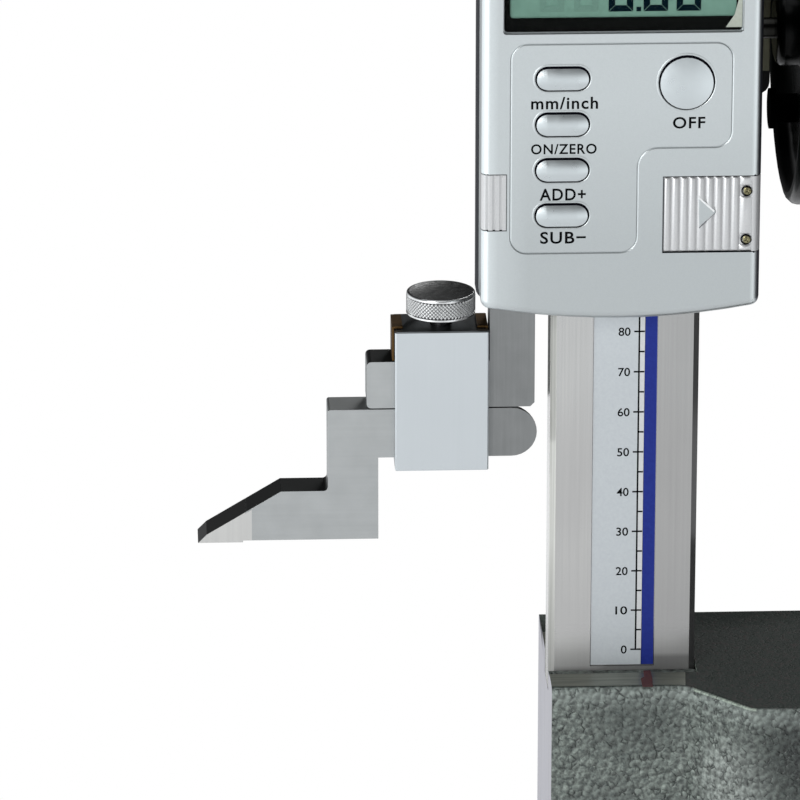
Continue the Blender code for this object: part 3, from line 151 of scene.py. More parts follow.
# A flat ring between two outlines in millimetres with as many points
def hoop(name, outer, inner, near, far, finish):
    corners = ((outer, near), (outer, far), (inner, far), (inner, near))
    return rimRound(name, [[place(x, z, y) for x, z in outline] for outline, y in corners], finish)


def rectangle(left, low, right, high):
    return [(left, low), (right, low), (right, high), (left, high)]


# A plain block between two corners
def box(name, low, high, finish):
    return planPrism(name, rectangle(low[0], low[1], high[0], high[1]), low[2], high[2], finish)


# A profile of (height along the axis, radius) from a centre, turned and closed
def turned(name, profile, centre, axis, finish, sides):
    turn = axis.to_track_quat("Z", "Y").to_matrix()
    shape = bmesh.new()
    rows = []
    for height, radius in profile:
        points = []
        for i in range(sides if radius > 0 else 1):
            angle = math.tau * i / sides
            offset = Vector((radius * math.cos(angle), radius * math.sin(angle), height))
            points.append(shape.verts.new(centre + turn @ offset))
        rows.append(points if radius > 0 else points * sides)
    for near, far in zip(rows, rows[1:]):
        for i in range(sides):
            j = (i + 1) % sides
            shape.faces.new(list(dict.fromkeys((near[i], near[j], far[j], far[i]))))
    return objectFrom(name, shape, finish, 25)


def arc(a, b, radius, start, end, steps=8):
    points = []
    for i in range(steps + 1):
        angle = math.radians(start + (end - start) * i / steps)
        points.append((a + radius * math.cos(angle), b + radius * math.sin(angle)))
    return points


# An outline from corners (a, b, radius), each rounded by an arc that touches both its sides
def roundedPath(corners, steps=8):
    points = []
    for i, (a, b, radius) in enumerate(corners):
        here = Vector((a, b))
        back = (Vector(corners[i - 1][:2]) - here).normalized()
        forth = (Vector(corners[(i + 1) % len(corners)][:2]) - here).normalized()
        half = back.angle(forth) / 2
        centre = here + (back + forth).normalized() * radius / math.sin(half)
        first = here + back * radius / math.tan(half) - centre
        last = here + forth * radius / math.tan(half) - centre
        turn = last.angle_signed(first)
        for step in range(steps + 1):
            angle = math.atan2(first.y, first.x) + turn * step / steps
            points.append((centre.x + radius * math.cos(angle), centre.y + radius * math.sin(angle)))
    return points


# A slot shape lying along the first coordinate
def stadium(x, z, length, height, grow=0.0, steps=16):
    radius = height / 2 + grow
    reach = (length - height) / 2
    return arc(x + reach, z, radius, -90, 90, steps) + arc(x - reach, z, radius, 90, 270, steps)


# What the modifiers make of an object, as a mesh of its own
def evaluated(thing):
    bpy.context.view_layer.update()
    return bpy.data.meshes.new_from_object(thing.evaluated_get(bpy.context.evaluated_depsgraph_get()))


def baked(thing):
    mesh = evaluated(thing)
    thing.modifiers.clear()
    thing.data = mesh
    return thing


# A piece of its own from a node's shape, with its triangles merged into whole faces
def cleanCopy(node, name, finish):
    shape = bmesh.new()
    shape.from_mesh(nodes[node].data)
    bmesh.ops.remove_doubles(shape, verts=shape.verts, dist=0.002 * mm)
    bmesh.ops.dissolve_limit(shape, angle_limit=math.radians(0.5), verts=shape.verts, edges=shape.edges)
    return objectFrom(name, shape, finish)


def cutWith(target, cutters):
    for cutter in cutters:
        step = target.modifiers.new(cutter.name, "BOOLEAN")
        step.object = cutter
        step.operation = "DIFFERENCE"
        step.solver = "EXACT"
    baked(target)
    for cutter in cutters:
        bpy.data.objects.remove(cutter, do_unlink=True)
    return target


# Smooth shading that keeps flat faces flat and corners over an angle sharp
def evenShading(thing, degrees):
    thing.data.shade_smooth()
    thing.data.set_sharp_from_angle(angle=math.radians(degrees))
    step = thing.modifiers.new("normals", "WEIGHTED_NORMAL")
    step.mode = "FACE_AREA"
    step.weight = 80
    step.keep_sharp = True
    return baked(thing)


# Small real edges on a piece's corners, or on the wanted ones, shaded smooth between them
def softEdges(thing, width, segments=2, degrees=42, wanted=None):
    shape = bmesh.new()
    shape.from_mesh(thing.data)
    weight = shape.edges.layers.float.new("bevel_weight_edge")
    for edge in shape.edges:
        sharp = len(edge.link_faces) == 2 and edge.calc_face_angle(0.0) > math.radians(degrees)
        edge[weight] = 1.0 if sharp and (not wanted or wanted(*(v.co for v in edge.verts))) else 0.0
    shape.to_mesh(thing.data)
    shape.free()
    step = thing.modifiers.new("edges", "BEVEL")
    step.width = width
    step.segments = segments
    step.limit_method = "WEIGHT"
    baked(thing)
    return evenShading(thing, degrees)


# Sets a finished piece on the body that it rides on, and hides the nodes that it stands for
def settle(piece, body, slot, *replaced):
    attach(piece, body)
    if replaced:
        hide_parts(*replaced)
    return piece


# Geometry Nodes that repeat a unit along a line, or round an axis in staggered rows


def repeatGroup(name, sockets):
    group = bpy.data.node_groups.new(name, "GeometryNodeTree")
    for label, kind in sockets:
        group.interface.new_socket(label, in_out="INPUT", socket_type=f"NodeSocket{kind}")
    group.interface.new_socket("Geometry", in_out="OUTPUT", socket_type="NodeSocketGeometry")
    given = group.nodes.new("NodeGroupInput").outputs
    unit = addNode(group, "GeometryNodeObjectInfo", {"Object": given["Unit"]}).outputs["Geometry"]
    return group, given, unit


def finishGroup(group, given, spread):
    solid = addNode(group, "GeometryNodeRealizeInstances", {"Geometry": spread.outputs[0]})
    coated = addNode(group, "GeometryNodeSetMaterial",
                     {"Geometry": solid.outputs[0], "Material": given["Finish"]})
    group.links.new(coated.outputs[0], group.nodes.new("NodeGroupOutput").inputs[0])
    return group


def lineGroup():
    group, given, unit = repeatGroup("repeatAlongLine", [
        ("Unit", "Object"), ("Count", "Int"), ("Step", "Vector"), ("Finish", "Material")])
    line = addNode(group, "GeometryNodeMeshLine", {"Count": given["Count"], "Offset": given["Step"]})
    spread = addNode(group, "GeometryNodeInstanceOnPoints", {"Points": line.outputs[0], "Instance": unit})
    return finishGroup(group, given, spread)


def knurlGroup():
    group, given, unit = repeatGroup("repeatRoundAxis", [
        ("Unit", "Object"), ("Columns", "Int"), ("Rows", "Int"), ("Rise", "Float"), ("Finish", "Material")])
    columns = given["Columns"]
    count = addNode(group, "ShaderNodeMath", columns, given["Rows"], operation="MULTIPLY")
    line = addNode(group, "GeometryNodeMeshLine", {"Count": count, "Offset": (0.0, 0.0, 0.0)})
    index = addNode(group, "GeometryNodeInputIndex").outputs[0]
    row = addNode(group, "ShaderNodeMath",
                  addNode(group, "ShaderNodeMath", index, columns, operation="DIVIDE"), operation="FLOOR")
    stagger = addNode(group, "ShaderNodeMath",
                      addNode(group, "ShaderNodeMath", row, 2.0, operation="MODULO"), 0.5,
                      operation="MULTIPLY")
    share = addNode(group, "ShaderNodeMath",
                    addNode(group, "ShaderNodeMath",
                            addNode(group, "ShaderNodeMath", index, columns, operation="MODULO"), stagger,
                            operation="ADD"), columns, operation="DIVIDE")
    angle = addNode(group, "ShaderNodeMath", share, math.tau, operation="MULTIPLY")
    height = addNode(group, "ShaderNodeMath", row, given["Rise"], operation="MULTIPLY")
    rise, turn = (addNode(group, "ShaderNodeCombineXYZ", {"Z": z}).outputs[0] for z in (height, angle))
    lifted = addNode(group, "GeometryNodeSetPosition", {"Geometry": line.outputs[0], "Offset": rise})
    spread = addNode(group, "GeometryNodeInstanceOnPoints", {
        "Points": lifted.outputs[0], "Instance": unit, "Rotation": turn})
    return finishGroup(group, given, spread)


alongLine, roundAxis = lineGroup(), knurlGroup()


# Runs one of the groups above and keeps what it makes as a plain mesh
def repeated(name, group, **values):
    made = newObject(name, bpy.data.meshes.new(name))
    step = made.modifiers.new("repeat", "NODES")
    step.node_group = group
    for item in group.interface.items_tree:
        if item.in_out == "INPUT":
            step[item.identifier] = values[item.name]
    baked(made)
    bpy.data.objects.remove(values["Unit"], do_unlink=True)
    return made


# One object from several plain meshes that share a finish
def joined(name, things):
    shape = bmesh.new()
    mesh = bpy.data.meshes.new(name)
    mesh.materials.append(things[0].data.materials[0])
    for thing in things:
        shape.from_mesh(thing.data)
        bpy.data.objects.remove(thing, do_unlink=True)
    shape.to_mesh(mesh)
    shape.free()
    return newObject(name, mesh)


# Finishes


def wire(tree, shader, **values):
    for label, value in values.items():
        feed(tree, shader.inputs[label.replace("_", " ")], value)


# A Principled material, its constants set straight on the shader
def newMaterial(name, **sockets):
    made = bpy.data.materials.new(name)
    made.use_nodes = True
    shader = made.node_tree.nodes["Principled BSDF"]
    wire(made.node_tree, shader, **sockets)
    return made, made.node_tree, shader


def bumped(tree, shader, height, strength, distance=0.05 * mm):
    relief = addNode(tree, "ShaderNodeBump", {"Height": height, "Strength": strength, "Distance": distance})
    wire(tree, shader, Normal=relief.outputs[0])


def objectAxes(tree):
    where = addNode(tree, "ShaderNodeTexCoord").outputs["Object"]
    return addNode(tree, "ShaderNodeSeparateXYZ", {"Vector": where}).outputs


def facing(tree):
    normal = addNode(tree, "ShaderNodeNewGeometry").outputs["Normal"]
    return addNode(tree, "ShaderNodeSeparateXYZ", {"Vector": normal}).outputs


# Noise over the object's own coordinates, stretched along its axes. Scales are marks to a metre: 1500 makes
# them 0.7 mm wide and 3200 0.3 mm, coarser than real grinding marks and mould grain, so that they show
def speckle(tree, scale, detail=2.0, stretch=(1, 1, 1)):
    where = addNode(tree, "ShaderNodeTexCoord").outputs["Object"]
    spread = addNode(tree, "ShaderNodeMapping", {"Vector": where, "Scale": [scale * s for s in stretch]})
    noise = addNode(tree, "ShaderNodeTexNoise",
                    {"Vector": spread.outputs[0], "Scale": 1.0, "Detail": detail})
    return noise.outputs["Fac"]


# A colour made darker or lighter by a share
def toned(tree, colour, share):
    grey = addNode(tree, "ShaderNodeCombineXYZ", {"X": share, "Y": share, "Z": share}).outputs[0]
    return addNode(tree, "ShaderNodeMixRGB", 1.0, colour, grey, blend_type="MULTIPLY")


def ramp(tree, value, *stops):
    node = addNode(tree, "ShaderNodeValToRGB", {"Fac": value})
    while len(node.color_ramp.elements) < len(stops):
        node.color_ramp.elements.new(0.5)
    for element, (position, colour) in zip(node.color_ramp.elements, stops):
        element.position = position
        element.color = linear(colour)
    return node.outputs["Color"]


# Faces that look up are darkened by a share, a painted shade
def darkerOnTop(tree, colour, share):
    return toned(tree, colour,
                 addNode(tree, "ShaderNodeMapRange", facing(tree)["Z"], 0.15, 0.60, 1.0, share))


# Metal with the fine lines of grinding or milling along one direction, its upper faces darkened by a share
# as painted shade
def streaked(name, dark, light, stretch, roughness, bump=0.004, scale=1500, top=1.0, metallic=1.0):
    made, tree, shader = newMaterial(name, Metallic=metallic)
    lines = speckle(tree, scale, 3.0, stretch)
    both = addNode(tree, "ShaderNodeMix", {"Factor": 0.6, "A": lines, "B": speckle(tree, 60, 2.0)})
    colour = ramp(tree, both, (0.3, dark), (0.7, light))
    wire(tree, shader, Base_Color=darkerOnTop(tree, colour, top),
         Roughness=addNode(tree, "ShaderNodeMapRange", lines, 0.3, 0.7, roughness * 0.92, roughness * 1.08))
    bumped(tree, shader, lines, bump)
    return made


# Moulded or painted plastic with a fine, even texture
def moulded(name, dark, light, roughness, scale=2500, bump=0.03, **sockets):
    made, tree, shader = newMaterial(name, **sockets)
    grain = speckle(tree, scale, 2.0)
    wire(tree, shader, Base_Color=ramp(tree, grain, (0.3, dark), (0.7, light)),
         Roughness=addNode(tree, "ShaderNodeMapRange", grain, 0.3, 0.7, roughness * 0.9, roughness * 1.1))
    bumped(tree, shader, grain, bump)
    return made


# The right part's colours are darker as painted shade; "top" and "step" set the painted shade of the upper
# faces and of the step's face
crossGroundShade = {"from": -44.0 * mm, "to": -42.0 * mm, "left": ("#aeb1b1", "#b8bbbb"),
               "right": ("#838585", "#8f9191"),
               "roughness": 0.42, "top": 0.10, "step": 0.9, "stepRoom": 0.3 * mm}


# Ground steel whose right part is ground across and painted darker, a painted shade; its upper faces get a
# painted shade, lighter on the step
def crossGroundSteel():
    made, tree, shader = newMaterial("crossGroundSteel", Metallic=1.0, Roughness=crossGroundShade["roughness"])
    axes = objectAxes(tree)
    broad = speckle(tree, 160, 4.0)
    sides = []
    for key, share, stretch in (("left", 0.7, (0.03, 1, 1)), ("right", 0.5, (1, 1, 0.03))):
        marks = addNode(tree, "ShaderNodeMix",
                        {"Factor": share, "A": speckle(tree, 1500, 3.0, stretch), "B": broad})
        sides.append(ramp(tree, marks, (0.3, crossGroundShade[key][0]), (0.7, crossGroundShade[key][1])))
    colour = addNode(tree, "ShaderNodeMixRGB",
                     addNode(tree, "ShaderNodeMapRange", axes["X"], crossGroundShade["from"], crossGroundShade["to"],
                             0.0, 1.0), *sides)
    # The step's upper face gets a lighter painted shade than the other upper faces
    onStep = addNode(tree, "ShaderNodeMath", axes["Z"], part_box("scriber")[1].z, crossGroundShade["stepRoom"],
                     operation="COMPARE")
    dark, pale = (darkerOnTop(tree, colour, crossGroundShade[key]) for key in ("top", "step"))
    wire(tree, shader, Base_Color=addNode(tree, "ShaderNodeMixRGB", onStep, dark, pale))
    return made


columnSteel = {
    "left": ("#c4c5c0", "#d6d7d2", "#e2e3de"), "face": ("#b8b8b7", "#c6c6c4"), "right": "#5a5a5a",
    "foot": (-4.0, 28.0), "footLeft": 0.48, "footFace": 0.90,  # how much darker each is painted towards the foot, a painted reflection of the dark base
    "leftFace": 1.04, "rightFace": 0.82, "across": 8.0,
    # A painted dark reflection of the base, as a band above it
    "bandFrom": (-3.9, -0.9), "bandWidth": 6.0, "bandDepth": 1.1, "band": 0.60,
    "roughness": 0.12, "footRough": 0.26, "rough": (2.0, 9.0),
    "footMetal": 0.25, "sideMetal": 0.25, "metal": (1.0, 7.0),
}


# Ground along its length, with a brushed chamfer at the left painted bright as a highlight and one at the
# right painted dark as shade; the face is painted lighter at its left, darker at its right and darker
# towards the foot
def columnFinish():
    made, tree, shader = newMaterial("groundColumn")
    axes, sideways = objectAxes(tree), facing(tree)["X"]
    x, z = axes["X"], axes["Z"]
    lines = speckle(tree, 1500, 3.0, (1, 1, 0.01))
    both = addNode(tree, "ShaderNodeMix",
                   {"Factor": 0.6, "A": lines, "B": speckle(tree, 50, 3.0, (1, 1, 0.5))})

    def alongFoot(low, high, heights):
        return addNode(tree, "ShaderNodeMapRange", z, *(scaleZero + height * mm for height in heights), low,
                       high)

    face = ramp(tree, both, *zip((0.3, 0.7), columnSteel["face"]))
    fine = ramp(tree, lines, *zip((0.35, 0.5, 0.65), columnSteel["left"]))
    fine = toned(tree, fine, alongFoot(columnSteel["footLeft"], 1.0, columnSteel["foot"]))
    face = toned(tree, face, alongFoot(columnSteel["footFace"], 1.0, columnSteel["foot"]))
    across, wide = columnSteel["across"] * mm, columnSteel["bandWidth"] * mm
    face = toned(tree, face,
                 addNode(tree, "ShaderNodeMapRange", x, -across, across, columnSteel["leftFace"],
                         columnSteel["rightFace"]))
    edge = addNode(tree, "ShaderNodeMapRange", x, -wide, wide,
                   *(height * mm for height in columnSteel["bandFrom"]))
    above = addNode(tree, "ShaderNodeMath", z, edge, operation="SUBTRACT")
    face = toned(tree, face,
                 addNode(tree, "ShaderNodeMapRange", above, scaleZero - columnSteel["bandDepth"] * mm,
                         scaleZero, columnSteel["band"], 1.0))
    leftSide = addNode(tree, "ShaderNodeMath", sideways, -0.5, operation="LESS_THAN")
    rightSide = addNode(tree, "ShaderNodeMath", sideways, 0.5, operation="GREATER_THAN")
    colour = addNode(tree, "ShaderNodeMixRGB", rightSide,
                     addNode(tree, "ShaderNodeMixRGB", leftSide, face, fine), linear(columnSteel["right"]))
    ends = addNode(tree, "ShaderNodeMapRange",
                   addNode(tree, "ShaderNodeMath", leftSide, rightSide, operation="ADD"), 0.0, 1.0, 1.0,
                   columnSteel["sideMetal"])
    metal = addNode(tree, "ShaderNodeMath", alongFoot(columnSteel["footMetal"], 1.0, columnSteel["metal"]),
                    ends, operation="MINIMUM")
    dull = alongFoot(columnSteel["footRough"], columnSteel["roughness"], columnSteel["rough"])
    wire(tree, shader, Base_Color=colour, Metallic=metal, Roughness=dull)
    return made


silver = {
    "dark": "#c6cccd", "light": "#cad0d1", "roughness": 0.36,
    "low": 0.86, "lowFrom": 106.0, "lowTo": 142.0, "innerFrom": -30.5, "innerTo": -24.0,  # painted shade, darker low down
    "band": 1.20, "bandFrom": -33.0, "bandTo": -31.0,  # a painted highlight along the left edge
    "rim": 0.22, "rimFrom": 27.3, "rimTo": 27.9,  # and a painted highlight before the right edge
    "dusk": "#2b293d", "duskShare": 0.9, "duskFrom": 28.5, "duskTo": 29.1,  # painted shade where it turns from the light
}


# Silver paint with painted light and shade over the head: lighter at its edges, darker low down and at the
# turn of its right edge
def silverPaint():
    made = moulded("silverPaint", silver["dark"], silver["light"], silver["roughness"], 3200, 0.003,
                   Metallic=0.85)
    tree = made.node_tree
    shader = tree.nodes["Principled BSDF"]
    axes = objectAxes(tree)

    def alongX(low, high, key):
        return addNode(tree, "ShaderNodeMapRange", axes["X"], silver[f"{key}From"] * mm,
                       silver[f"{key}To"] * mm, low, high)

    fall = addNode(tree, "ShaderNodeMapRange", axes["Z"], scaleZero + silver["lowFrom"] * mm,
                   scaleZero + silver["lowTo"] * mm, 1.0 - silver["low"], 0.0)
    paintedLowShade = addNode(tree, "ShaderNodeMath", fall, alongX(0.0, 1.0, "inner"), operation="MULTIPLY")
    lit = addNode(tree, "ShaderNodeMath", alongX(silver["band"], 1.0, "band"),
                  alongX(0.0, silver["rim"], "rim"), operation="ADD")
    paint = toned(tree, shader.inputs["Base Color"].links[0].from_socket,
                  addNode(tree, "ShaderNodeMath", lit, paintedLowShade, operation="SUBTRACT"))
    dusk = alongX(0.0, silver["duskShare"], "dusk")
    wire(tree, shader, Base_Color=addNode(tree, "ShaderNodeMixRGB", dusk, paint, linear(silver["dusk"])))
    return made


castIron = {
    "cell": 1.55 * mm, "bend": 0.85 * mm, "litFrom": 0.16, "grain": 1.15, "relief": 0.22 * mm,
    "brow": 4.0 * mm,
    "joint": 0.19, "jointShare": 0.70, "crack": "#1e2422", "low": "#434b48", "high": "#879089",
    "paintedBrowLight": "#8b948f",
    # The upper faces' dark colours are a painted shade
    "top": ("#1c2420", "#28302c", "#332e2d"), "ground": ("#a5a5ac", "#bdbdc6"),
    "pad": ("#72766f", "#929489"),
    "padDepth": 13.4 * mm, "padMargin": 2.2 * mm, "padSlant": 0.08, "padMetal": 0.7,
    # A painted highlight along the slanting front edge
    "edge": "#c3d2c2", "edgeMiddle": 22.9 * mm, "edgeHalf": 6.9 * mm, "edgeHeight": (0.66 * mm, 0.50 * mm),
    # Broad painted highlights and painted shade: where in millimetres, how wide, their colour and strength
    "patches": [((24, -31, 36), 15, "#a3aaa5", 0.62), ((30, -33, 22), 14, "#a3aaa5", 0.5),
                ((2, -19, 50), 17, "#3d4442", 0.55), ((50, -36, 46), 31, "#151b1a", 0.98),
                ((-4, -19, 24), 13, "#474d4b", 0.5)],
}


# Hammertone enamel over cast iron: grains with a painted lit side and a painted shaded side, and dark broken
# joints between them. It is ground bright on the left side and on the pad before the column, and its upper
# faces are painted dark as shade and are smooth
def hammertone():
    made, tree, shader = newMaterial("hammertoneEnamel")
    where = addNode(tree, "ShaderNodeTexCoord").outputs["Object"]
    axes, normal = objectAxes(tree), facing(tree)
    x, y, z = (axes[axis] for axis in "XYZ")
    perCell = 1.0 / castIron["cell"]

    # Enamel: its own mottle, the broad painted highlights and shade, and a painted lighter band under the
    # top edge
    fine = speckle(tree, perCell, 2.0)
    finer = speckle(tree, 2.3 * perCell, 3.0)
    mottle = addNode(tree, "ShaderNodeMath",
                     addNode(tree, "ShaderNodeMath", fine, 0.4, operation="MULTIPLY"),
                     addNode(tree, "ShaderNodeMath", finer, 0.6, operation="MULTIPLY"), operation="ADD")
    enamel = ramp(tree, mottle, (0.34, castIron["low"]), (0.66, castIron["high"]))
    for centre, radius, colour, strength in castIron["patches"]:
        away = addNode(tree, "ShaderNodeVectorMath", where, [c * mm for c in centre], operation="DISTANCE")
        off = away.outputs["Value"]
        ease = addNode(tree, "ShaderNodeMapRange", off, radius * 0.25 * mm, radius * mm, strength, 0.0,
                       interpolation_type="SMOOTHSTEP")
        enamel = addNode(tree, "ShaderNodeMixRGB",
                         addNode(tree, "ShaderNodeMath", ease,
                                 addNode(tree, "ShaderNodeMapRange", finer, 0.3, 0.7, 0.45, 1.25),
                                 operation="MULTIPLY"), enamel, linear(colour))
    brow = addNode(tree, "ShaderNodeMapRange", z, baseTop - castIron["brow"] * 1.5,
                   baseTop - castIron["brow"] * 0.4, 0.0, 0.6)
    enamel = addNode(tree, "ShaderNodeMixRGB", brow, enamel, linear(castIron["paintedBrowLight"]))

    # Grains: dark joints and blots, and for each a painted lit side and a painted shaded side
    wander = addNode(tree, "ShaderNodeTexNoise", {"Vector": where, "Scale": 1.1 * perCell, "Detail": 2.0})
    drift = addNode(tree, "ShaderNodeVectorMath", {0: wander.outputs["Color"], 3: castIron["bend"]},
                    operation="SCALE")
    bent = addNode(tree, "ShaderNodeVectorMath", where, drift, operation="ADD")
    border = addNode(tree, "ShaderNodeTexVoronoi", {"Vector": bent, "Scale": perCell},
                     feature="DISTANCE_TO_EDGE")
    sparse = addNode(tree, "ShaderNodeMapRange", speckle(tree, 0.7 * perCell, 3.0), 0.46, 0.62, 0.05, 1.0)
    joint = addNode(tree, "ShaderNodeMath",
                    addNode(tree, "ShaderNodeMapRange", border.outputs["Distance"], 0.0, castIron["joint"],
                            1.2, 0.0), sparse, operation="MULTIPLY")
    blots = addNode(tree, "ShaderNodeMapRange", speckle(tree, 1.1 * perCell, 3.0), 0.58, 0.72, 0.0, 0.60)
    dark = addNode(tree, "ShaderNodeMath",
                   addNode(tree, "ShaderNodeMath", joint, castIron["jointShare"], operation="MULTIPLY"),
                   blots, operation="MAXIMUM")
    enamel = addNode(tree, "ShaderNodeMixRGB", dark, enamel, linear(castIron["crack"]))
    aside = castIron["litFrom"] * castIron["cell"]
    sides = []
    for sign in (1, -1):
        moved = addNode(tree, "ShaderNodeVectorMath", bent, (-sign * aside, 0.0, sign * aside),
                        operation="ADD")
        cells = addNode(tree, "ShaderNodeTexVoronoi", {"Vector": moved, "Scale": perCell})
        sides.append(cells.outputs["Distance"])
    lit, unlit = sides
    grain = addNode(tree, "ShaderNodeMath", 1.0,
                    addNode(tree, "ShaderNodeMath", castIron["grain"],
                            addNode(tree, "ShaderNodeMath", lit, unlit, operation="SUBTRACT"),
                            operation="MULTIPLY"), operation="ADD")
    enamel = toned(tree, enamel, grain)

    # A painted highlight along the slanting edge, the upper faces painted dark as shade, the pad and the
    # ground side
    rise = addNode(tree, "ShaderNodeMapRange", z, *(baseTop - height for height in castIron["edgeHeight"]),
                   0.0, 0.85)
    edge = addNode(tree, "ShaderNodeMath", rise,
                   addNode(tree, "ShaderNodeMath", x, castIron["edgeMiddle"], castIron["edgeHalf"],
                           operation="COMPARE"), operation="MULTIPLY")
    paintedEdgeLight = addNode(tree, "ShaderNodeMath", edge,
                   addNode(tree, "ShaderNodeMapRange", finer, 0.4, 0.6, 0.3, 1.0), operation="MULTIPLY")
    enamel = addNode(tree, "ShaderNodeMixRGB", paintedEdgeLight, enamel, linear(castIron["edge"]))
    level = addNode(tree, "ShaderNodeMapRange", normal["Z"], 0.8, 0.97, 0.0, 1.0)
    halves = addNode(tree, "ShaderNodeMath",
                     addNode(tree, "ShaderNodeMath", fine, 0.5, operation="MULTIPLY"),
                     addNode(tree, "ShaderNodeMath", finer, 0.5, operation="MULTIPLY"), operation="ADD")
    enamel = addNode(tree, "ShaderNodeMixRGB", level, enamel,
                     ramp(tree, halves, *zip((0.36, 0.5, 0.64), castIron["top"])))
    ground = ramp(tree, speckle(tree, 1400, 3.0, (1, 1, 0.02)), *zip((0.3, 0.7), castIron["ground"]))
    pad = ramp(tree, speckle(tree, 900, 4.0, (0.06, 1, 1)), *zip((0.3, 0.7), castIron["pad"]))
    side = addNode(tree, "ShaderNodeMath", x, castingLow.x + 0.02 * mm, operation="LESS_THAN")
    slanted = addNode(tree, "ShaderNodeMath", x,
                      addNode(tree, "ShaderNodeMath", y, castIron["padSlant"], operation="MULTIPLY"),
                      operation="SUBTRACT")
    padRight = column[1].x - castIron["padMargin"] - columnFront * castIron["padSlant"]
    padLeft = addNode(tree, "ShaderNodeMath", slanted, padRight, operation="LESS_THAN")
    padTop = addNode(tree, "ShaderNodeMath", z, baseTop - 1.2 * mm, operation="GREATER_THAN")
    upward = addNode(tree, "ShaderNodeMath", normal["Z"], 0.98, operation="GREATER_THAN")
    behind = addNode(tree, "ShaderNodeMath", y, columnFront - castIron["padDepth"],
                     operation="GREATER_THAN")
    onPad = addNode(tree, "ShaderNodeMath",
                    addNode(tree, "ShaderNodeMath", padLeft, padTop, operation="MULTIPLY"),
                    addNode(tree, "ShaderNodeMath", upward, behind, operation="MULTIPLY"),
                    operation="MULTIPLY")
    mask = addNode(tree, "ShaderNodeMath", side,
                   addNode(tree, "ShaderNodeMath", onPad, castIron["padMetal"], operation="MULTIPLY"),
                   operation="MAXIMUM")
    smooth = addNode(tree, "ShaderNodeMapRange",
                     addNode(tree, "ShaderNodeMath", level, onPad, operation="SUBTRACT"), 0.0, 1.0, 0.36,
                     0.6)
    wire(tree, shader, Base_Color=addNode(tree, "ShaderNodeMixRGB", side,
                                          addNode(tree, "ShaderNodeMixRGB", onPad, enamel, pad), ground),
         Metallic=addNode(tree, "ShaderNodeMath", mask, 0.9, operation="MULTIPLY"), Roughness=smooth,
         Specular_IOR_Level=addNode(tree, "ShaderNodeMapRange", level, 0.0, 1.0, 0.5, 0.15))
    grains = addNode(tree, "ShaderNodeMath", addNode(tree, "ShaderNodeMath", fine, finer, operation="ADD"),
                     0.9, operation="MULTIPLY")
    height = addNode(tree, "ShaderNodeMath", grains,
                     addNode(tree, "ShaderNodeMath", joint, blots, operation="MAXIMUM"),
                     operation="SUBTRACT")
    strength = addNode(tree, "ShaderNodeMath",
                       addNode(tree, "ShaderNodeMath", 1.0, mask, operation="SUBTRACT"),
                       addNode(tree, "ShaderNodeMapRange", level, 0.0, 1.0, 0.8, 0.3), operation="MULTIPLY")
    bumped(tree, shader, height, strength, castIron["relief"])
    return made


# Ink, film and glass that only a little light comes back from
def flat(name, dark, light, roughness, specular=0.5, scale=1500):
    return moulded(name, dark, light, roughness, scale, 0.0, Specular_IOR_Level=specular)


along = {"X": (0.02, 1, 1), "Z": (1, 1, 0.02)}
finishes = {
    # Hammered enamel on cast iron: pale grains with painted light and shade, between dark joints
    "cast_iron_hammertone": hammertone(),
    # Ground and milled steel: fine lines in one direction under a grey, even light
    "ground_steel": streaked("groundSteel", "#b3b4b2", "#bfc0be", along["Z"], 0.30),
    "satin_steel": streaked("milledSteel", "#a3a6a6", "#b2b5b5", along["Z"], 0.38),
    # Brushed chrome and sintered carbide: pale and almost without lines, with a painted shade on their upper
    # faces
    "satin_chrome": streaked("satinChrome", "#cdd3d6", "#d1d7da", along["Z"], 0.34, 0.001, 1500, 0.25),
    "carbide": streaked("sinteredCarbide", "#cacac8", "#d6d6d3", along["Z"], 0.34, 0.004, 1500, 0.12),
    # Turned bronze and brass: warm, the brass a dark brown
    "bronze": streaked("bearingBronze", "#8a6a3c", "#a8854f", along["X"], 0.38),
    "brass": streaked("darkBrownBrass", "#4a3820", "#6a5234", along["X"], 0.40),
    # Blackened steel: near black with a dull metal light
    "black_oxide_steel": streaked("blackOxide", "#191a1b", "#2a2b2c", along["X"], 0.38),
    # Sprayed enamel and pressed phenolic: deep black, seen only by their thin lights
    "black_enamel": moulded("blackEnamel", "#050605", "#0a0b0a", 0.34, Specular_IOR_Level=0.2),
    "black_phenolic": moulded("blackPhenolic", "#020403", "#050706", 0.24, 900, 0.01,
                              Specular_IOR_Level=0.10),
    # Moulded ABS, painted silver with a soft metal light and painted light and shade, or left dark grey and
    # matt
    "silver_paint_abs": silverPaint(),
    "dark_grey_abs": moulded("darkMoulding", "#232428", "#2d2e33", 0.5, 1800, 0.08),
    # Printed film: an even silver grey, and a matt blue
    "label_film": moulded("printedFilm", "#c1c7cb", "#c7cdd0", 0.45, 1500, 0.01),
    "blue_film": flat("blueFilm", "#223084", "#26368c", 0.5, 0.12),
    # Cast acrylic: clear, so that only its own lights show. Liquid crystal glass: an even grey-green
    "clear_acrylic": newMaterial("clearWindow", Base_Color=(0.0, 0.0, 0.0, 1), Roughness=0.06,
                                 Alpha=0.03)[0],
    "lcd_glass": flat("liquidCrystal", "#6c9283", "#749b8b", 0.4, 0.2, 500),
    # Solder resist and silicone: a satin green and a matt grey
    "circuit_board": moulded("solderResist", "#0c3a20", "#12502c", 0.4, 900),
    "grey_rubber": moulded("siliconeMat", "#57585a", "#636466", 0.8, 1200),
    # Plated and rolled steel: bright, with fine lines
    "cell_steel": streaked("nickelCan", "#b5b4ae", "#cbcac4", along["X"], 0.22),
    "spring_steel": streaked("springStrip", "#a5a5a2", "#bcbcb9", along["Z"], 0.28),
}
crossGroundShadedFinish = crossGroundSteel()
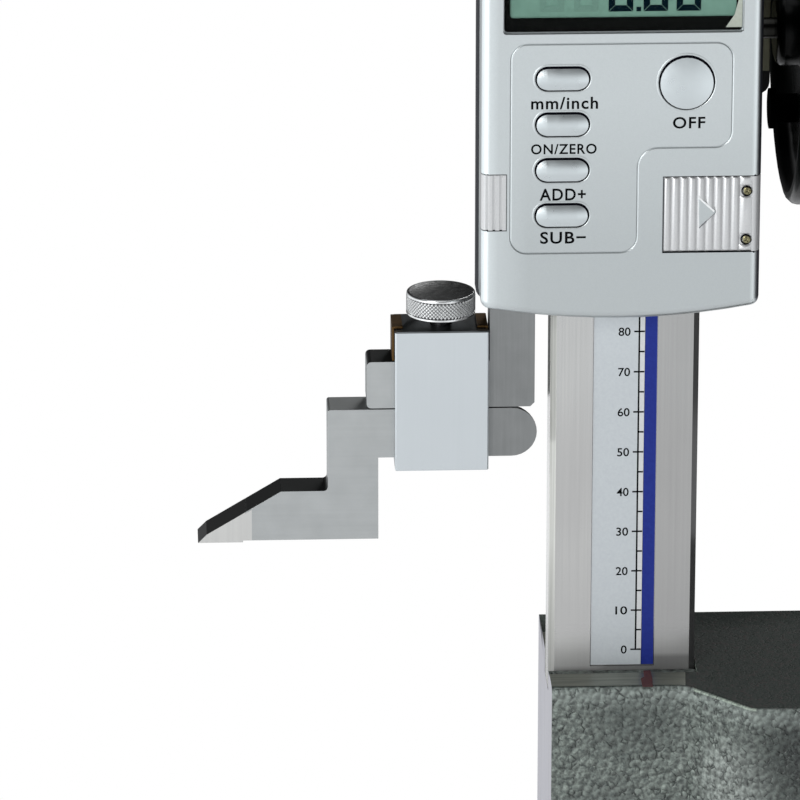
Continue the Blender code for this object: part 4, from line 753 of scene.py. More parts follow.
# Drab olive steel, a browned shaft, and darker brass for the screws
drabSteel = streaked("drabSteel", "#7f7e68", "#929178", along["Z"], 0.45, metallic=0.35)
shaftSteel = streaked("brownedShaft", "#2c2c2a", "#3a3a37", along["X"], 0.25)
# Phenolic with no light of its own
handleBlack = flat("handleBlack", "#050606", "#080909", 0.4, 0.0, 900)
screwBrass = streaked("screwBrass", "#6f6b50", "#8f8a6c", along["X"], 0.32)
# The keys' paint is smoother than the shell's, and the covers' is flatter
keyPaint = moulded("keyPaint", "#cad1d3", "#ccd3d5", 0.30, 500, 0.0, Metallic=0.85)
coverPaint = moulded("coverPaint", "#c9cacb", "#d1d2d2", 0.38, 3200, 0.003, Metallic=0.60)
ownFinish = {"slider_frame": crossGroundShadedFinish, "column": columnFinish(), "drive_bracket": drabSteel}
slotOf = {entry["node"]: entry["material_slot"] for entry in frame["record"]["subparts"]}
for name, thing in nodes.items():
    thing.material_slots[0].material = ownFinish.get(name, finishes[slotOf[name]])
# Inks, painted shadows, painted highlights and a painted reflection, matt and even, drawn where a gap, a
# print or a light shows as a tone
prints = {
    "ink": flat("blackInk", "#0c0d0e", "#121314", 0.6, 0.0),
    "margin": flat("paleMargin", "#d0d2d3", "#d6d8d9", 0.5),
    "segment": flat("litSegment", "#04131a", "#081a22", 0.6, 0.0),
    "ghost": flat("unlitSegment", "#678b7d", "#6b8f81", 0.4, 0.2),
    "bezel": flat("bezelInk", "#060807", "#0a0c0b", 0.5, 0.02),
    "gap": flat("shadowedGap", "#07070c", "#0b0b12", 0.8, 0.0),
    "paintedEdgeHighlight": flat("paintedEdgeHighlight", "#eceeee", "#f2f4f4", 0.5),
    "seam": flat("shallowSeamShade", "#5c6063", "#66696c", 0.8, 0.0),
    "paintedGlassReflection": flat("paintedGlassReflection", "#aeb4a8", "#b8beb2", 0.5),
    "dab": moulded("redDab", "#4c2a27", "#663a34", 0.6, 1500, 0.2),
}
print("finishes made:", len(finishes) + len(prints))


# Printed scale on the column: long and short marks, a line down them, and a number at each long mark

scale = {"line": 0.40, "from": 2.1, "spine": 3.33, "to": 4.6, "numberRight": 1.25, "numberHeight": 2.05,
         "digitWidth": 1.42, "last": 300, "inkDepth": 0.012 * mm,
         "marginRight": 4.65, "marginOver": 5, "marginDepth": 0.006 * mm}  # the pale strip under the marks


def printedScale():
    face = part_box("scale_label")[0].y
    near, far = face - scale["inkDepth"], face + scale["inkDepth"]
    half, spine, to, last = scale["line"] / 2, scale["spine"], scale["to"], scale["last"]

    def bar(name, left, right, low, high):
        return facePrism(name, rectangle(left, low, right, high), near, far, prints["ink"])

    def row(name, unit, count):
        return repeated(name, alongLine, Unit=unit, Count=count, Step=(0.0, 0.0, 10 * mm),
                        Finish=prints["ink"])

    marks = joined("scaleMarks", [
        row("longMarks", bar("longMark", scale["from"], to, -half, half), last // 10 + 1),
        row("shortMarks", bar("shortMark", spine, to, 5 - half, 5 + half), last // 10),
        bar("scaleSpine", spine - half, spine + half, -half, last + half)])
    settle(marks, "stand", "label_film")
    strip = rectangle(spine, 0.0, scale["marginRight"], last + scale["marginOver"])
    margin = facePrism("scaleMargin", strip, near + scale["marginDepth"], far, prints["margin"])
    settle(margin, "stand", "label_film")


# Raised ink lettering that fills a width from a baseline, facing the reader
def lettering(name, words, left, right, baseline, height, depth, weight=0.014, spacing=1.0):
    curve = bpy.data.curves.new(name, "FONT")
    curve.body = words
    curve.resolution_u = 4
    curve.offset = weight
    curve.space_character = spacing
    written = newObject(name, curve)
    mesh = evaluated(written)
    bpy.data.objects.remove(written, do_unlink=True)
    first = min(v.co.x for v in mesh.vertices)
    wide = (right - left) * mm / (max(v.co.x for v in mesh.vertices) - first)
    high = height * mm / max(v.co.y for v in mesh.vertices)
    start = place(left, baseline, depth)
    for v in mesh.vertices:
        v.co = Vector((start.x + (v.co.x - first) * wide, depth, start.z + v.co.y * high))
    mesh.materials.clear()
    mesh.materials.append(prints["ink"])
    if sum(p.normal.y * p.area for p in mesh.polygons) > 0:
        mesh.flip_normals()
    return newObject(name, mesh)


def scaleNumbers():
    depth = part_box("scale_label")[0].y - scale["inkDepth"]
    right, height = scale["numberRight"], scale["numberHeight"]
    made = []
    for value in range(0, scale["last"] + 1, 10):
        left = right - scale["digitWidth"] * len(str(value))
        made.append(lettering(f"number{value}", str(value), left, right, value - height / 2, height, depth))
    settle(joined("scaleNumbers", made), "stand", "label_film")


dabAt = {"x": 5.45, "width": 2.9, "front": 13.7 * mm, "back": 3.2 * mm, "thick": 0.05 * mm,
         "form": ((-0.5, 0.0), (0.35, 0.0), (0.45, 0.5), (0.42, 1.0), (-0.15, 1.0), (-0.2, 0.62),
                  (-0.5, 0.5))}


# The dab of red paint on the base before the column
def paintDab():
    length = dabAt["front"] - dabAt["back"]
    outline = [((dabAt["x"] + dabAt["width"] * a) * mm, columnFront - dabAt["front"] + length * b)
               for a, b in dabAt["form"]]
    dab = planPrism("paintDab", outline, baseTop, baseTop + dabAt["thick"], prints["dab"])
    settle(dab, "stand", "label_film")


printedScale()
scaleNumbers()
paintDab()
print("scale printed")


# Display head: the shell with its engraved outline and soft edges, the window, the digits and the legends

panel = {"left": -28.2, "inner": 1.07, "right": 22.65, "bottom": 105.05, "step": 130.15, "top": 155.1,
         "corner": 3.8, "hollow": 4.6, "halfWidth": 0.26, "depth": 0.30 * mm, "near": 0.35,
         "liningHalf": 0.29, "liningDepth": 0.18 * mm, "liningRim": -0.006 * mm, "liningBack": 0.40 * mm}


# Points along the outline engraved round the keys, each between its two neighbours at the sides
def panelSections(half):
    corner = panel["corner"]
    path = roundedPath([
        (panel["left"], panel["bottom"], corner), (panel["inner"], panel["bottom"], corner),
        (panel["inner"], panel["step"], panel["hollow"]), (panel["right"], panel["step"], corner),
        (panel["right"], panel["top"], corner), (panel["left"], panel["top"], corner)])
    sections = []
    for i, point in enumerate(path):
        ahead = (Vector(path[(i + 1) % len(path)]) - Vector(path[i - 1])).normalized()
        side = Vector((ahead.y, -ahead.x)) * half
        sections.append((Vector(point) + side, Vector(point), Vector(point) - side))
    return sections


# Whether a point of the shell lies on the engraved outline
def onPanelLine(point):
    across = [panel[key] for key in ("left", "inner", "right")]
    up = [panel[key] for key in ("bottom", "step", "top")]
    x, z = point.x / mm, (point.z - scaleZero) / mm
    upright = min(abs(x - a) for a in across) < panel["near"]
    level = min(abs(z - b) for b in up) < panel["near"]
    corner = any(math.hypot(x - a, z - b) < panel["hollow"] * 0.75 for a in across for b in up)
    return point.y <= headFace + panel["depth"] * 1.2 and (upright or level or corner)


def offPanelLine(*points):
    return not all(onPanelLine(point) for point in points)


# The painted walls of the engraved line, so that they catch the light apart from the face
def panelLine():
    sections = panelSections(panel["liningHalf"])
    course = ((0, "liningRim"), (1, "liningDepth"), (2, "liningRim"), (1, "liningBack"))
    loops = [[place(*section[k], headFace + panel[key]) for section in sections] for k, key in course]
    lining = rimRound("panelLine", loops, finishes["silver_paint_abs"], 20)
    settle(lining, "carriage", "silver_paint_abs")


def frontShell():
    shell = cleanCopy("housing_front", "frontShell", finishes["silver_paint_abs"])
    depth = panel["depth"]
    groove = []
    for a, b, c in panelSections(panel["halfWidth"]):
        points = (a, headFace), (b, headFace + depth), (c, headFace), (b, headFace - depth)
        groove.append([place(*point, y) for point, y in points])
    cutWith(shell, [rimRound("panelGroove", groove)])
    softEdges(shell, 0.26 * mm, 3, wanted=offPanelLine)
    settle(shell, "carriage", "silver_paint_abs", "housing_front")


windowAt = {"outer": (-29.8, 157.75, 24.7, 180.7), "inner": (-28.5, 160.95, 23.3, 178.9), "corner": 0.8,
            "behind": 0.02 * mm, "border": 0.1 * mm, "well": 1.1 * mm,
            "pale": [(20.9, 158.4), (24.6, 158.4), (24.7, 172.0), (24.3, 172.0), (23.8, 165.0),
                     (22.9, 161.4)]}


# The black border printed on the back of the window and the walls behind it, with the opening that the
# panel shows through, and a pale painted reflection in the glass's lower right corner
def windowBezel():
    outer, inner = (roundedPath([(x, z, windowAt["corner"]) for x, z in rectangle(*windowAt[key])], 4)
                    for key in ("outer", "inner"))
    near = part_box("display_window")[1].y + windowAt["behind"]
    far = near + windowAt["border"]
    for name, front, back in (("windowBorder", near, far), ("windowWell", far, far + windowAt["well"])):
        border = facePrism(name, outer, front, back, prints["bezel"])
        cutWith(border, [facePrism(f"{name}Hole", inner, front - mm, back + mm)])
        settle(border, "carriage", "black_enamel")
    # A pale sheet in the glass's corner that stands for a reflection, a painted reflection
    glint = facePrism("paleGlassCorner", windowAt["pale"], near - 0.04 * mm, near - 0.01 * mm,
                      prints["paintedGlassReflection"])
    settle(glint, "carriage", "lcd_glass")


digits = {"bottom": 162.4, "height": 11.5, "width": 5.6, "stroke": 1.45, "gap": 0.10, "dot": 1.05,
          "dotAt": 0.95,
          "lit": (-5.95, 2.04, 9.58), "unlit": (-21.7, -13.9), "ink": 0.03 * mm,
          # Behind the glass and seen from above, so they stand a little lower
          "behind": 0.35, "seenFrom": 19,
          "glassRoom": 0.6, "glassAt": (0.12 * mm, 0.16 * mm)}


# The bars of a digit, as outlines in millimetres, by the letters a to g
def segmentOutlines(left, wanted):
    t, g = digits["stroke"], digits["gap"]
    low, high = digits["bottom"], digits["bottom"] + digits["height"]
    mid, right = (low + high) / 2, left + digits["width"]

    def upright(x, inward):
        inner = x + inward * t
        return [(x, mid + g), (inner, mid + t / 2 + g), (inner, high - t - g), (x, high - g)]

    bars = {
        "a": [(left + g, high), (right - g, high), (right - t - g, high - t), (left + t + g, high - t)],
        "d": [(left + g, low), (left + t + g, low + t), (right - t - g, low + t), (right - g, low)],
        "g": [(left + t / 2 + g, mid), (left + t + g, mid + t / 2), (right - t - g, mid + t / 2),
              (right - t / 2 - g, mid), (right - t - g, mid - t / 2), (left + t + g, mid - t / 2)],
        "f": upright(left, 1), "b": upright(right, -1),
    }
    for upper, lower in ("fe", "bc"):
        bars[lower] = [(x, 2 * mid - z) for x, z in bars[upper]]
    return [bars[letter] for letter in wanted]


# A reading of zero with two decimals, and the faint bars of the places that aren't lit
def digitsOnPanel():
    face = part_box("display_window")[1].y + digits["behind"] * mm
    drop = digits["behind"] * math.tan(math.radians(digits["seenFrom"]))
    lit, unlit = [], []
    for left in digits["lit"]:
        lit += segmentOutlines(left, "abcdef")
        unlit += segmentOutlines(left, "g")
    for left in digits["unlit"]:
        unlit += segmentOutlines(left, "abcdefg")
    x, z, dot = digits["dotAt"], digits["bottom"], digits["dot"]
    lit.append(rectangle(x - dot / 2, z, x + dot / 2, z + dot))
    for name, outlines, finish, depth in (("litSegments", lit, "segment", face),
                                          ("unlitSegments", unlit, "ghost", face + 0.05 * mm)):
        parts = [facePrism(f"{name}{i}", [(a, b - drop) for a, b in outline], depth, depth + digits["ink"],
                           prints[finish]) for i, outline in enumerate(outlines)]
        settle(joined(name, parts), "carriage", "lcd_glass")
    (left, low, right, high), room = windowAt["inner"], digits["glassRoom"]
    near, far = (face + depth for depth in digits["glassAt"])
    glass = rectangle(left - room, low - room, right + room, high + room)
    settle(facePrism("panelFace", glass, near, far, finishes["lcd_glass"]), "carriage", "lcd_glass")


legends = [("mm/inch", -23.6, -8.25, 139.75, 2.85), ("ON/ZERO", -23.55, -8.45, 129.0, 2.37),
           ("ADD+", -21.5, -10.85, 117.85, 2.82), ("SUB−", -21.3, -10.75, 107.45, 2.82),
           ("OFF", 9.0, 16.45, 134.8, 2.69)]
legendForm = {"proud": 0.015 * mm, "weight": 0.019, "spacing": 1.12}


def keyLegends():
    made = [lettering(f"legend{i}", *legend, headFace - legendForm["proud"], legendForm["weight"],
                      legendForm["spacing"]) for i, legend in enumerate(legends)]
    settle(joined("keyLegends", made), "carriage", "silver_paint_abs")


# The gap's lining is a dark sheet, a painted shadow, lifted so that it shows thicker above the key
keyForm = {"flange": 0.7, "dome": 1.25 * mm, "rings": 10, "top": 0.985, "foot": -0.1,
           "gap": (0.41, 0.02), "gapFront": -0.01 * mm, "gapBack": 2 * mm, "lift": 0.20,
           "rim": ((0.37, 0.12), (0.50, -0.07), (0.72, -0.08), (0.98, 0.015), (0.98, 0.3), (0.37, 0.3))}


# Each key is a pillow that rises from a rounded edge to its middle, in a gap lined with a painted shadow,
# with a raised rim round it
def domedKeys():
    for node in nodes:
        if not node.startswith("key_") or node == "key_mat":
            continue
        low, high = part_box(node)
        x, z = (low.x + high.x) / 2 / mm, ((low.z + high.z) / 2 - scaleZero) / mm
        wide, tall = ((high - low)[i] / mm - 2 * keyForm["flange"] for i in (0, 2))
        form, raised = (x, z, wide, tall), (x, z + keyForm["lift"], wide, tall)
        rings = [[place(a, b, high.y) for a, b in stadium(*form, keyForm["foot"])]]
        for i in range(keyForm["rings"] + 1):
            ring = []
            for a, b in stadium(*form, -min(i / keyForm["rings"], keyForm["top"]) * tall / 2):
                fall = ((a - x) / (wide / 2)) ** 2 + ((b - z) / (tall / 2)) ** 2
                ring.append(place(a, b, low.y + keyForm["dome"] * fall / 2))
            rings.append(ring)
        settle(lofted(f"{node}_cap", rings, keyPaint, 50), node, "silver_paint_abs", node)
        outer, inner = keyForm["gap"]
        gap = hoop(f"{node}_gap", stadium(*raised, outer), stadium(*form, inner),
                   headFace + keyForm["gapFront"], headFace + keyForm["gapBack"], prints["gap"])
        settle(gap, "carriage", "dark_grey_abs")
        loops = [[place(a, b, headFace + rise * mm) for a, b in stadium(*raised, grow)]
                 for grow, rise in keyForm["rim"]]
        rim = rimRound(f"{node}_rim", loops, finishes["silver_paint_abs"], 60)
        settle(rim, "carriage", "silver_paint_abs")


ribs = {"pitch": 1.97, "depth": 0.45, "first": 9.0, "count": 8, "plain": 27.6, "flange": 0.7, "room": 0.05,
        "seat": 0.55 * mm, "back": 0.85 * mm, "ends": ((0.0, 0.0), (0.25, 0.72), (0.55, 1.0)), "steps": 12,
        "lean": 0.8,
        "screwAt": 26.3, "screwRoom": 1.25, "ring": 1.22, "ringInner": 1.0, "ringDepth": 0.12 * mm}
arrow = {"corners": [(15.15, 118.4), (19.35, 114.55), (15.4, 110.9)], "proud": 0.02 * mm,
         "edgeProud": 0.05 * mm,
         "glint": [(15.15, 118.4), (15.15, 117.85), (18.65, 114.62), (19.0, 114.88)],
         "shade": [(19.0, 114.2), (19.35, 114.55), (15.6, 111.05), (15.4, 110.9), (15.4, 110.6)]}
seamAt = {"front": 0.07 * mm, "back": 1.4 * mm, "clear": 0.02 * mm, "short": 1.3 * mm,
          "door": 0.40 * mm, "port": 0.26 * mm}


# A rounded rib that leans to the left, with its ends rounded off
def ribUnit(name, left, pitch, low, high):
    crown = ribs["depth"] * mm
    far = headFace + ribs["back"]
    levels = [(low + a, size) for a, size in ribs["ends"]]
    levels += [(high - a, size) for a, size in ribs["ends"][::-1]]
    rings = []
    for z, size in levels:
        section = []
        for i in range(ribs["steps"] + 1):
            share = i / ribs["steps"]
            fall = (1 - size) + (1 - math.sin(math.pi * share ** ribs["lean"])) * size
            section.append((left + pitch * share, headFace + crown * fall))
        section += [(left + pitch, far), (left, far)]
        rings.append([place(x, z, y) for x, y in section])
    return lofted(name, rings, coverPaint, 40)


# Painted shadow lining the gap at a cover's top and bottom, and a lighter painted shade at its inner end
def seams(name, node, openRight, wide, flange=0.0):
    low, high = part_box(node)
    bottom, top = low.z + flange, high.z - flange
    near, far, clear = headFace + seamAt["front"], headFace + seamAt["back"], seamAt["clear"]
    left, right = (low.x, high.x - seamAt["short"]) if openRight else (low.x + seamAt["short"], high.x)
    pieces = [box(f"{name}Top", (left, near, top + clear), (right, far, top + wide), prints["gap"]),
              box(f"{name}Bottom", (left, near, bottom - wide), (right, far, bottom - clear),
                  prints["gap"])]
    settle(joined(name, pieces), "carriage", "dark_grey_abs")
    end = low.x - wide if openRight else high.x + clear
    side = box(f"{name}End", (end, near, bottom - wide), (end + wide - clear, far, top + wide),
               prints["seam"])
    settle(side, "carriage", "dark_grey_abs")


# The battery door's ribs, which leave room for its screws, and the painted shadow rings round the screws
def doorRibs(left, low, high):
    screws = []
    for word in ("low", "high"):
        below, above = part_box(f"door_screw_{word}")
        screws.append(((below.z + above.z) / 2 - scaleZero) / mm)
    first = ribUnit("doorRibFirst", left, ribs["first"] - left, low, high)
    unit = ribUnit("doorRibUnit", ribs["first"], ribs["pitch"], low, high)
    step = (ribs["pitch"] * mm, 0.0, 0.0)
    row = repeated("doorRibRow", alongLine, Unit=unit, Count=ribs["count"], Step=step, Finish=coverPaint)
    start, room = ribs["first"] + ribs["pitch"] * ribs["count"], ribs["screwRoom"]
    stretches = ((low, screws[0] - room), (screws[0] + room, screws[1] - room), (screws[1] + room, high))
    last = [ribUnit(f"doorRibLast{i}", start, ribs["plain"] - start, *ends)
            for i, ends in enumerate(stretches)]
    settle(joined("doorRibs", [first, row] + last), "battery_door", "silver_paint_abs")
    rings = []
    for i, z in enumerate(screws):
        outer, inner = (arc(ribs["screwAt"], z, ribs[key], 0, 345, 23) for key in ("ring", "ringInner"))
        near, far = headFace + ribs["ringDepth"], headFace + ribs["back"]
        rings.append(hoop(f"screwRing{i}", outer, inner, near, far, prints["gap"]))
    settle(joined("doorScrewRings", rings), "battery_door", "dark_grey_abs")


def doorAndPort():
    low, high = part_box("battery_door")
    bottom, top = (low.z - scaleZero) / mm + ribs["flange"], (high.z - scaleZero) / mm - ribs["flange"]
    door = cleanCopy("battery_door", "doorPlate", coverPaint)
    recess = rectangle(0, bottom - 1, ribs["plain"], top + 1)
    cutWith(door, [facePrism("doorRecess", recess, headFace - mm, headFace + ribs["seat"])])
    softEdges(door, 0.14 * mm)
    settle(door, "battery_door", "silver_paint_abs", "battery_door")
    doorRibs(low.x / mm, bottom + ribs["room"], top - ribs["room"])
    front = headFace - arrow["proud"]
    plate = facePrism("doorArrow", arrow["corners"], front, headFace + ribs["back"],
                      finishes["silver_paint_abs"])
    softEdges(plate, 0.12 * mm, 1)
    settle(plate, "battery_door", "silver_paint_abs")
    # Thin sheets along the arrow's edges: a painted highlight on its upper edge and painted shade on its
    # lower one
    for name, key, finish in (("arrowGlint", "glint", "paintedEdgeHighlight"), ("arrowShade", "shade", "seam")):
        line = facePrism(name, arrow[key], headFace - arrow["edgeProud"], headFace, prints[finish])
        settle(line, "battery_door", "silver_paint_abs")
    seams("doorSeams", "battery_door", True, seamAt["door"], ribs["flange"] * mm)
    seams("portSeams", "port_cover", False, seamAt["port"])
    port = cleanCopy("port_cover", "portPlate", coverPaint)
    softEdges(port, 0.12 * mm)
    settle(port, "port_cover", "silver_paint_abs", "port_cover")


frontShell()
panelLine()
windowBezel()
digitsOnPanel()
keyLegends()
domedKeys()
doorAndPort()
print("display head dressed")


# Screws: where the head looks, its radius and the driver's depth in millimetres, and the kind of driver

screwKinds = [
    ([f"frame_screw_{i}" for i in (1, 2, 3, 4)], "carriage", (0, 1, 0), 2.8, 1.2, "hex"),
    (["rear_screw_left", "rear_screw_right"], "carriage", (0, 1, 0), 2.8, 0.8, "cross"),
    (["bracket_screw_left", "bracket_screw_right"], "carriage", (0, 1, 0), 2.2, 0.8, "hex"),
    (["column_screw_left", "column_screw_right"], "stand", (0, 0, -1), 5.0, 3.0, "hex"),
    (["gib_screw_low", "gib_screw_high"], "carriage", (1, 0, 0), 1.5, 0.8, "slot"),
    (["door_screw_low", "door_screw_high"], "battery_door", (0, -1, 0), 1.0, 0.35, "cross"),
    (["rack_screw_bottom", "rack_screw_top"], "stand", (0, 1, 0), 2.2, 0.6, "hex"),
    (["wheel_screw"], "drive", (1, 0, 0), 4.5, 0.9, "slot"),
]
driver = {"hex": 0.5, "slot": 2.4, "cross": 1.3, "blade": 0.24, "turn": 0.4}


# A screw's own shape with a hexagon socket, a slot or a cross cut into the end of its head
def driven(node, body, outward, headRadius, depth, kind):
    low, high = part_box(node)
    axis = Vector(outward)
    top = (low + high) / 2 + (high - low) / 2 * axis
    turn = axis.to_track_quat("Z", "Y").to_matrix().to_4x4()
    slot = slotOf[node]
    screw = cleanCopy(node, f"{node}_head", screwBrass if slot == "brass" else finishes[slot])
    for quarter in range(2 if kind == "cross" else 1):
        shape = bmesh.new()
        size = headRadius * driver[kind]
        if kind == "hex":
            bmesh.ops.create_cone(shape, cap_ends=True, segments=6, radius1=size, radius2=size,
                                  depth=2 * depth)
        else:
            blade = Matrix.Diagonal((size, headRadius * driver["blade"], 2 * depth, 1))
            angle = math.pi / 2 * quarter + driver["turn"]
            bmesh.ops.create_cube(shape, size=1, matrix=Matrix.Rotation(angle, 4, "Z") @ blade)
        shape.transform(Matrix.Translation(top) @ turn)
        cutWith(screw, [objectFrom(f"{node}_driver{quarter}", shape)])
    screw.data.shade_smooth()
    screw.data.set_sharp_from_angle(angle=math.radians(35))
    settle(screw, body, slot, node)


for names, body, outward, headRadius, depth, kind in screwKinds:
    for node in names:
        driven(node, body, outward, headRadius * mm, depth * mm, kind)
print("screws cut")


# Knurled heads of the clamp screw and the lock screw

clampKnurl = {"columns": 57, "rows": 8, "height": 0.34 * mm}
lockKnurl = {"columns": 34, "rows": 13, "height": 0.35 * mm}
knurlPoint = {"pitchShare": 0.98, "flat": 0.55, "sunk": 0.05 * mm}


# Rows of four-sided points round an axis, staggered so that they read as crossed lines
def knurledBand(name, centre, axis, radius, low, high, knurl, finish):
    rise = (high - low) / (knurl["rows"] + 1)
    half = math.pi * radius / knurl["columns"] * knurlPoint["pitchShare"]
    corners = ((-half, rise), (0, 0), (half, rise), (0, 2 * rise))
    depth, share = radius - knurl["height"] - knurlPoint["sunk"], knurlPoint["flat"]
    foot = [Vector((depth, y, z)) for y, z in corners]
    point = [Vector((radius, y * share, rise + (z - rise) * share)) for y, z in corners]
    unit = lofted(f"{name}Unit", (foot, point), finish)
    band = repeated(name, roundAxis, Unit=unit, Columns=knurl["columns"], Rows=knurl["rows"], Rise=rise,
                    Finish=finish)
    turn = axis.to_track_quat("Z", "Y").to_matrix().to_4x4()
    band.data.transform(Matrix.Translation(centre) @ turn @ Matrix.Translation((0, 0, low)))
    return band


knob = {"radius": 8.13, "crown": 5.5, "shoulder": 0.72, "chamfer": 0.07, "lip": 0.42, "dish": 0.22,
        "rim": 0.5,
        "stem": 2.5, "foot": 0.6, "ring": 0.25, "hollow": 0.9, "arc": (0, 18, 36, 54, 72, 90)}


# A turned head with a dished, shallow-coned top, a bright ring at its edge and a knurled band
def clampKnob():
    low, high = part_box("clamp_screw")
    r, h, shoulder, chamfer, lip, dish, rim, stem, foot, ring, hollow = (
        knob[key] * mm for key in ("radius", "crown", "shoulder", "chamfer", "lip", "dish", "rim", "stem",
                                   "foot",
                                   "ring", "hollow"))
    centre, axis = Vector(((low.x + high.x) / 2, (low.y + high.y) / 2, high.z - h)), Vector((0, 0, 1))
    core, tip = r - clampKnurl["height"], h - (high.z - low.z)
    inward = r - chamfer - lip
    steel = streaked("turnedSteel", "#cccdcd", "#e2e3e3", (1, 1, 1), 0.24, 0.004, 700)
    crossed = streaked("knurledSteel", "#d0d1d1", "#e0e1e1", (1, 1, 1), 0.3, 0.004, 700, metallic=0.7)
    profile = [(tip, 0), (tip, stem), (0, stem), (0, r - foot), (rim * 0.6, r), (rim * 1.4, r),
               (rim * 1.6, core),
               (h - shoulder * 1.15, core), (h - shoulder, r - 0.05 * mm)]
    for angle in knob["arc"]:
        a = math.radians(angle)
        profile.append((h - lip + lip * math.sin(a), inward + lip * math.cos(a)))
    profile += [(h, inward - ring), (h - dish, inward - hollow), (h, 0)]
    head = turned("clampKnob", profile, centre, axis, steel, 96)
    # The core between the knurl's points and the stem take a dark painted shade
    head.data.materials.append(streaked("knurlGrooveShade", "#343435", "#404042", (1, 1, 1), 0.4))
    for face in head.data.polygons:
        points = [head.data.vertices[v].co for v in face.vertices]
        far = [math.hypot(p.x - centre.x, p.y - centre.y) for p in points]
        if max(far) - min(far) < 0.01 * mm and min(abs(far[0] - core), abs(far[0] - stem)) < 0.01 * mm:
            face.material_index = 1
    settle(head, "clamp_screw", "satin_steel", "clamp_screw")
    band = knurledBand("clampKnurl", centre, axis, r, rim * 1.5, h - shoulder * 1.05, clampKnurl, crossed)
    settle(band, "clamp_screw", "satin_steel")


lockForm = {"length": 9.0, "stem": 1.9, "chamfer": 0.5, "rims": (0.6, 1.1, 1.3), "topRims": (1.5, 1.2, 0.6),
            "band": (1.2, 1.3)}


def lockKnob():
    low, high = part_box("lock_screw")
    middle = (low + high) / 2
    length, stem, chamfer = (lockForm[key] * mm for key in ("length", "stem", "chamfer"))
    centre, axis = Vector((low.x + length, middle.y, middle.z)), Vector((-1, 0, 0))
    r = (high.z - low.z) / 2
    core, inward = r - lockKnurl["height"], -(high.x - low.x - length)
    a, b, c = (size * mm for size in lockForm["rims"])
    d, e, f = (length - size * mm for size in lockForm["topRims"])
    profile = [(inward, 0), (inward, stem), (0, stem), (0, core - chamfer), (a, r), (b, r), (c, core),
               (d, core), (e, r), (f, r), (length, core - chamfer), (length, 0)]
    head = turned("lockKnob", profile, centre, axis, finishes["satin_chrome"], 64)
    settle(head, "lock_screw", "satin_chrome", "lock_screw")
    start, end = lockForm["band"]
    band = knurledBand("lockKnurl", centre, axis, r, start * mm, length - end * mm, lockKnurl,
                       finishes["satin_chrome"])
    settle(band, "lock_screw", "satin_chrome")


clampKnob()
lockKnob()
print("knobs knurled")


# Edges of the plain steel pieces, softened as their real edges are


def softened(node, body, width, segments=2, finish=None):
    piece = cleanCopy(node, f"{node}_edged", finish or finishes[slotOf[node]])
    softEdges(piece, width, segments, 30)
    settle(piece, body, slotOf[node], node)


def smoothed(node, body, finish=None):
    piece = cleanCopy(node, f"{node}_smooth", finish or finishes[slotOf[node]])
    evenShading(piece, 30)
    settle(piece, body, slotOf[node], node)


scriber = {"nose": ((-7.0, 2.6), (-2.0, 0.9), (-0.05, 0.25)), "noseBack": 7.6, "edge": 0.16 * mm,
           "joint": 10.8 * mm, "gap": 0.31 * mm, "over": 0.15 * mm, "under": 0.02 * mm, "inset": 0.01 * mm,
           "seam": (-90.4, -88.0), "seamFoot": 0.05, "seamSlope": 0.58, "seamDrop": 0.35,
           "seamFront": 0.012 * mm, "seamBack": 0.1 * mm}


# The stepped bar with its nose rounded towards the back, its joint to the carbide filled and brazed
def scriberBar():
    bar = cleanCopy("scriber", "scriberBar", crossGroundShadedFinish)
    low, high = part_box("scriber")
    curve = [(high.x + a * mm, low.y + b * mm) for a, b in scriber["nose"]]
    end, back = high.x + mm, high.y + mm
    nose = [(end, curve[-1][1]), (end, back), (high.x - scriber["noseBack"] * mm, back)] + curve
    cutWith(bar, [planPrism("noseCut", nose, low.z - mm, high.z + mm)])
    softEdges(bar, scriber["edge"], 2, 30)
    settle(bar, "scriber", "satin_steel", "scriber")
    tip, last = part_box("carbide_tip")
    foot, head, gap = tip.x + scriber["joint"], last.x, scriber["gap"]
    corners = [(foot - gap, low.z), (foot, low.z), (head + gap, last.z + scriber["over"]),
               (head, last.z - scriber["under"])]
    faces = (low.y + scriber["inset"], high.y - scriber["inset"])
    fill = lofted("jointFill", [[Vector((x, y, z)) for x, z in corners] for y in faces], crossGroundShadedFinish)
    settle(fill, "scriber", "satin_steel")
    left, right = scriber["seam"]
    bottom = (low.z - scaleZero) / mm + scriber["seamFoot"]
    upper = [(x, (last.z - scaleZero) / mm + (x - head / mm) * scriber["seamSlope"] - scriber["seamDrop"])
             for x in (right, left)]
    braze = facePrism("brazedSeam", [(left, bottom), (right, bottom)] + upper, low.y - scriber["seamFront"],
                      low.y + scriber["seamBack"], finishes["carbide"])
    settle(braze, "scriber", "carbide")


browAt = {"radius": 0.7 * mm, "under": 0.1 * mm, "before": 4.7 * mm, "left": 0.5 * mm}


# The casting with its front top edge rounded, as the enamel leaves it
def baseWithSoftBrow():
    cast = cleanCopy("base_casting", "baseCasting", finishes["cast_iron_hammertone"])

    def brow(a, b):
        high = min(a.z, b.z) > baseTop - browAt["under"]
        front = max(a.y, b.y) < columnFront - browAt["before"]
        return high and front and max(a.x, b.x) > castingLow.x + browAt["left"]

    softEdges(cast, browAt["radius"], 3, 40, brow)
    settle(cast, "stand", "cast_iron_hammertone", "base_casting")


softened("clamp_box", "clamp_box", 0.12 * mm)
scriberBar()
smoothed("handwheel", "drive")
smoothed("drive_shaft", "drive", shaftSteel)
smoothed("handle_pin", "drive", handleBlack)
softened("carbide_tip", "scriber", 0.04 * mm, 1)
softened("clamp_shoe", "clamp_box", 0.08 * mm, 1)
softened("back_plate", "carriage", 0.15 * mm, 2, drabSteel)
softened("crank_handle", "handle", 0.3 * mm)
baseWithSoftBrow()
print("edges softened")


# Camera, floor and light

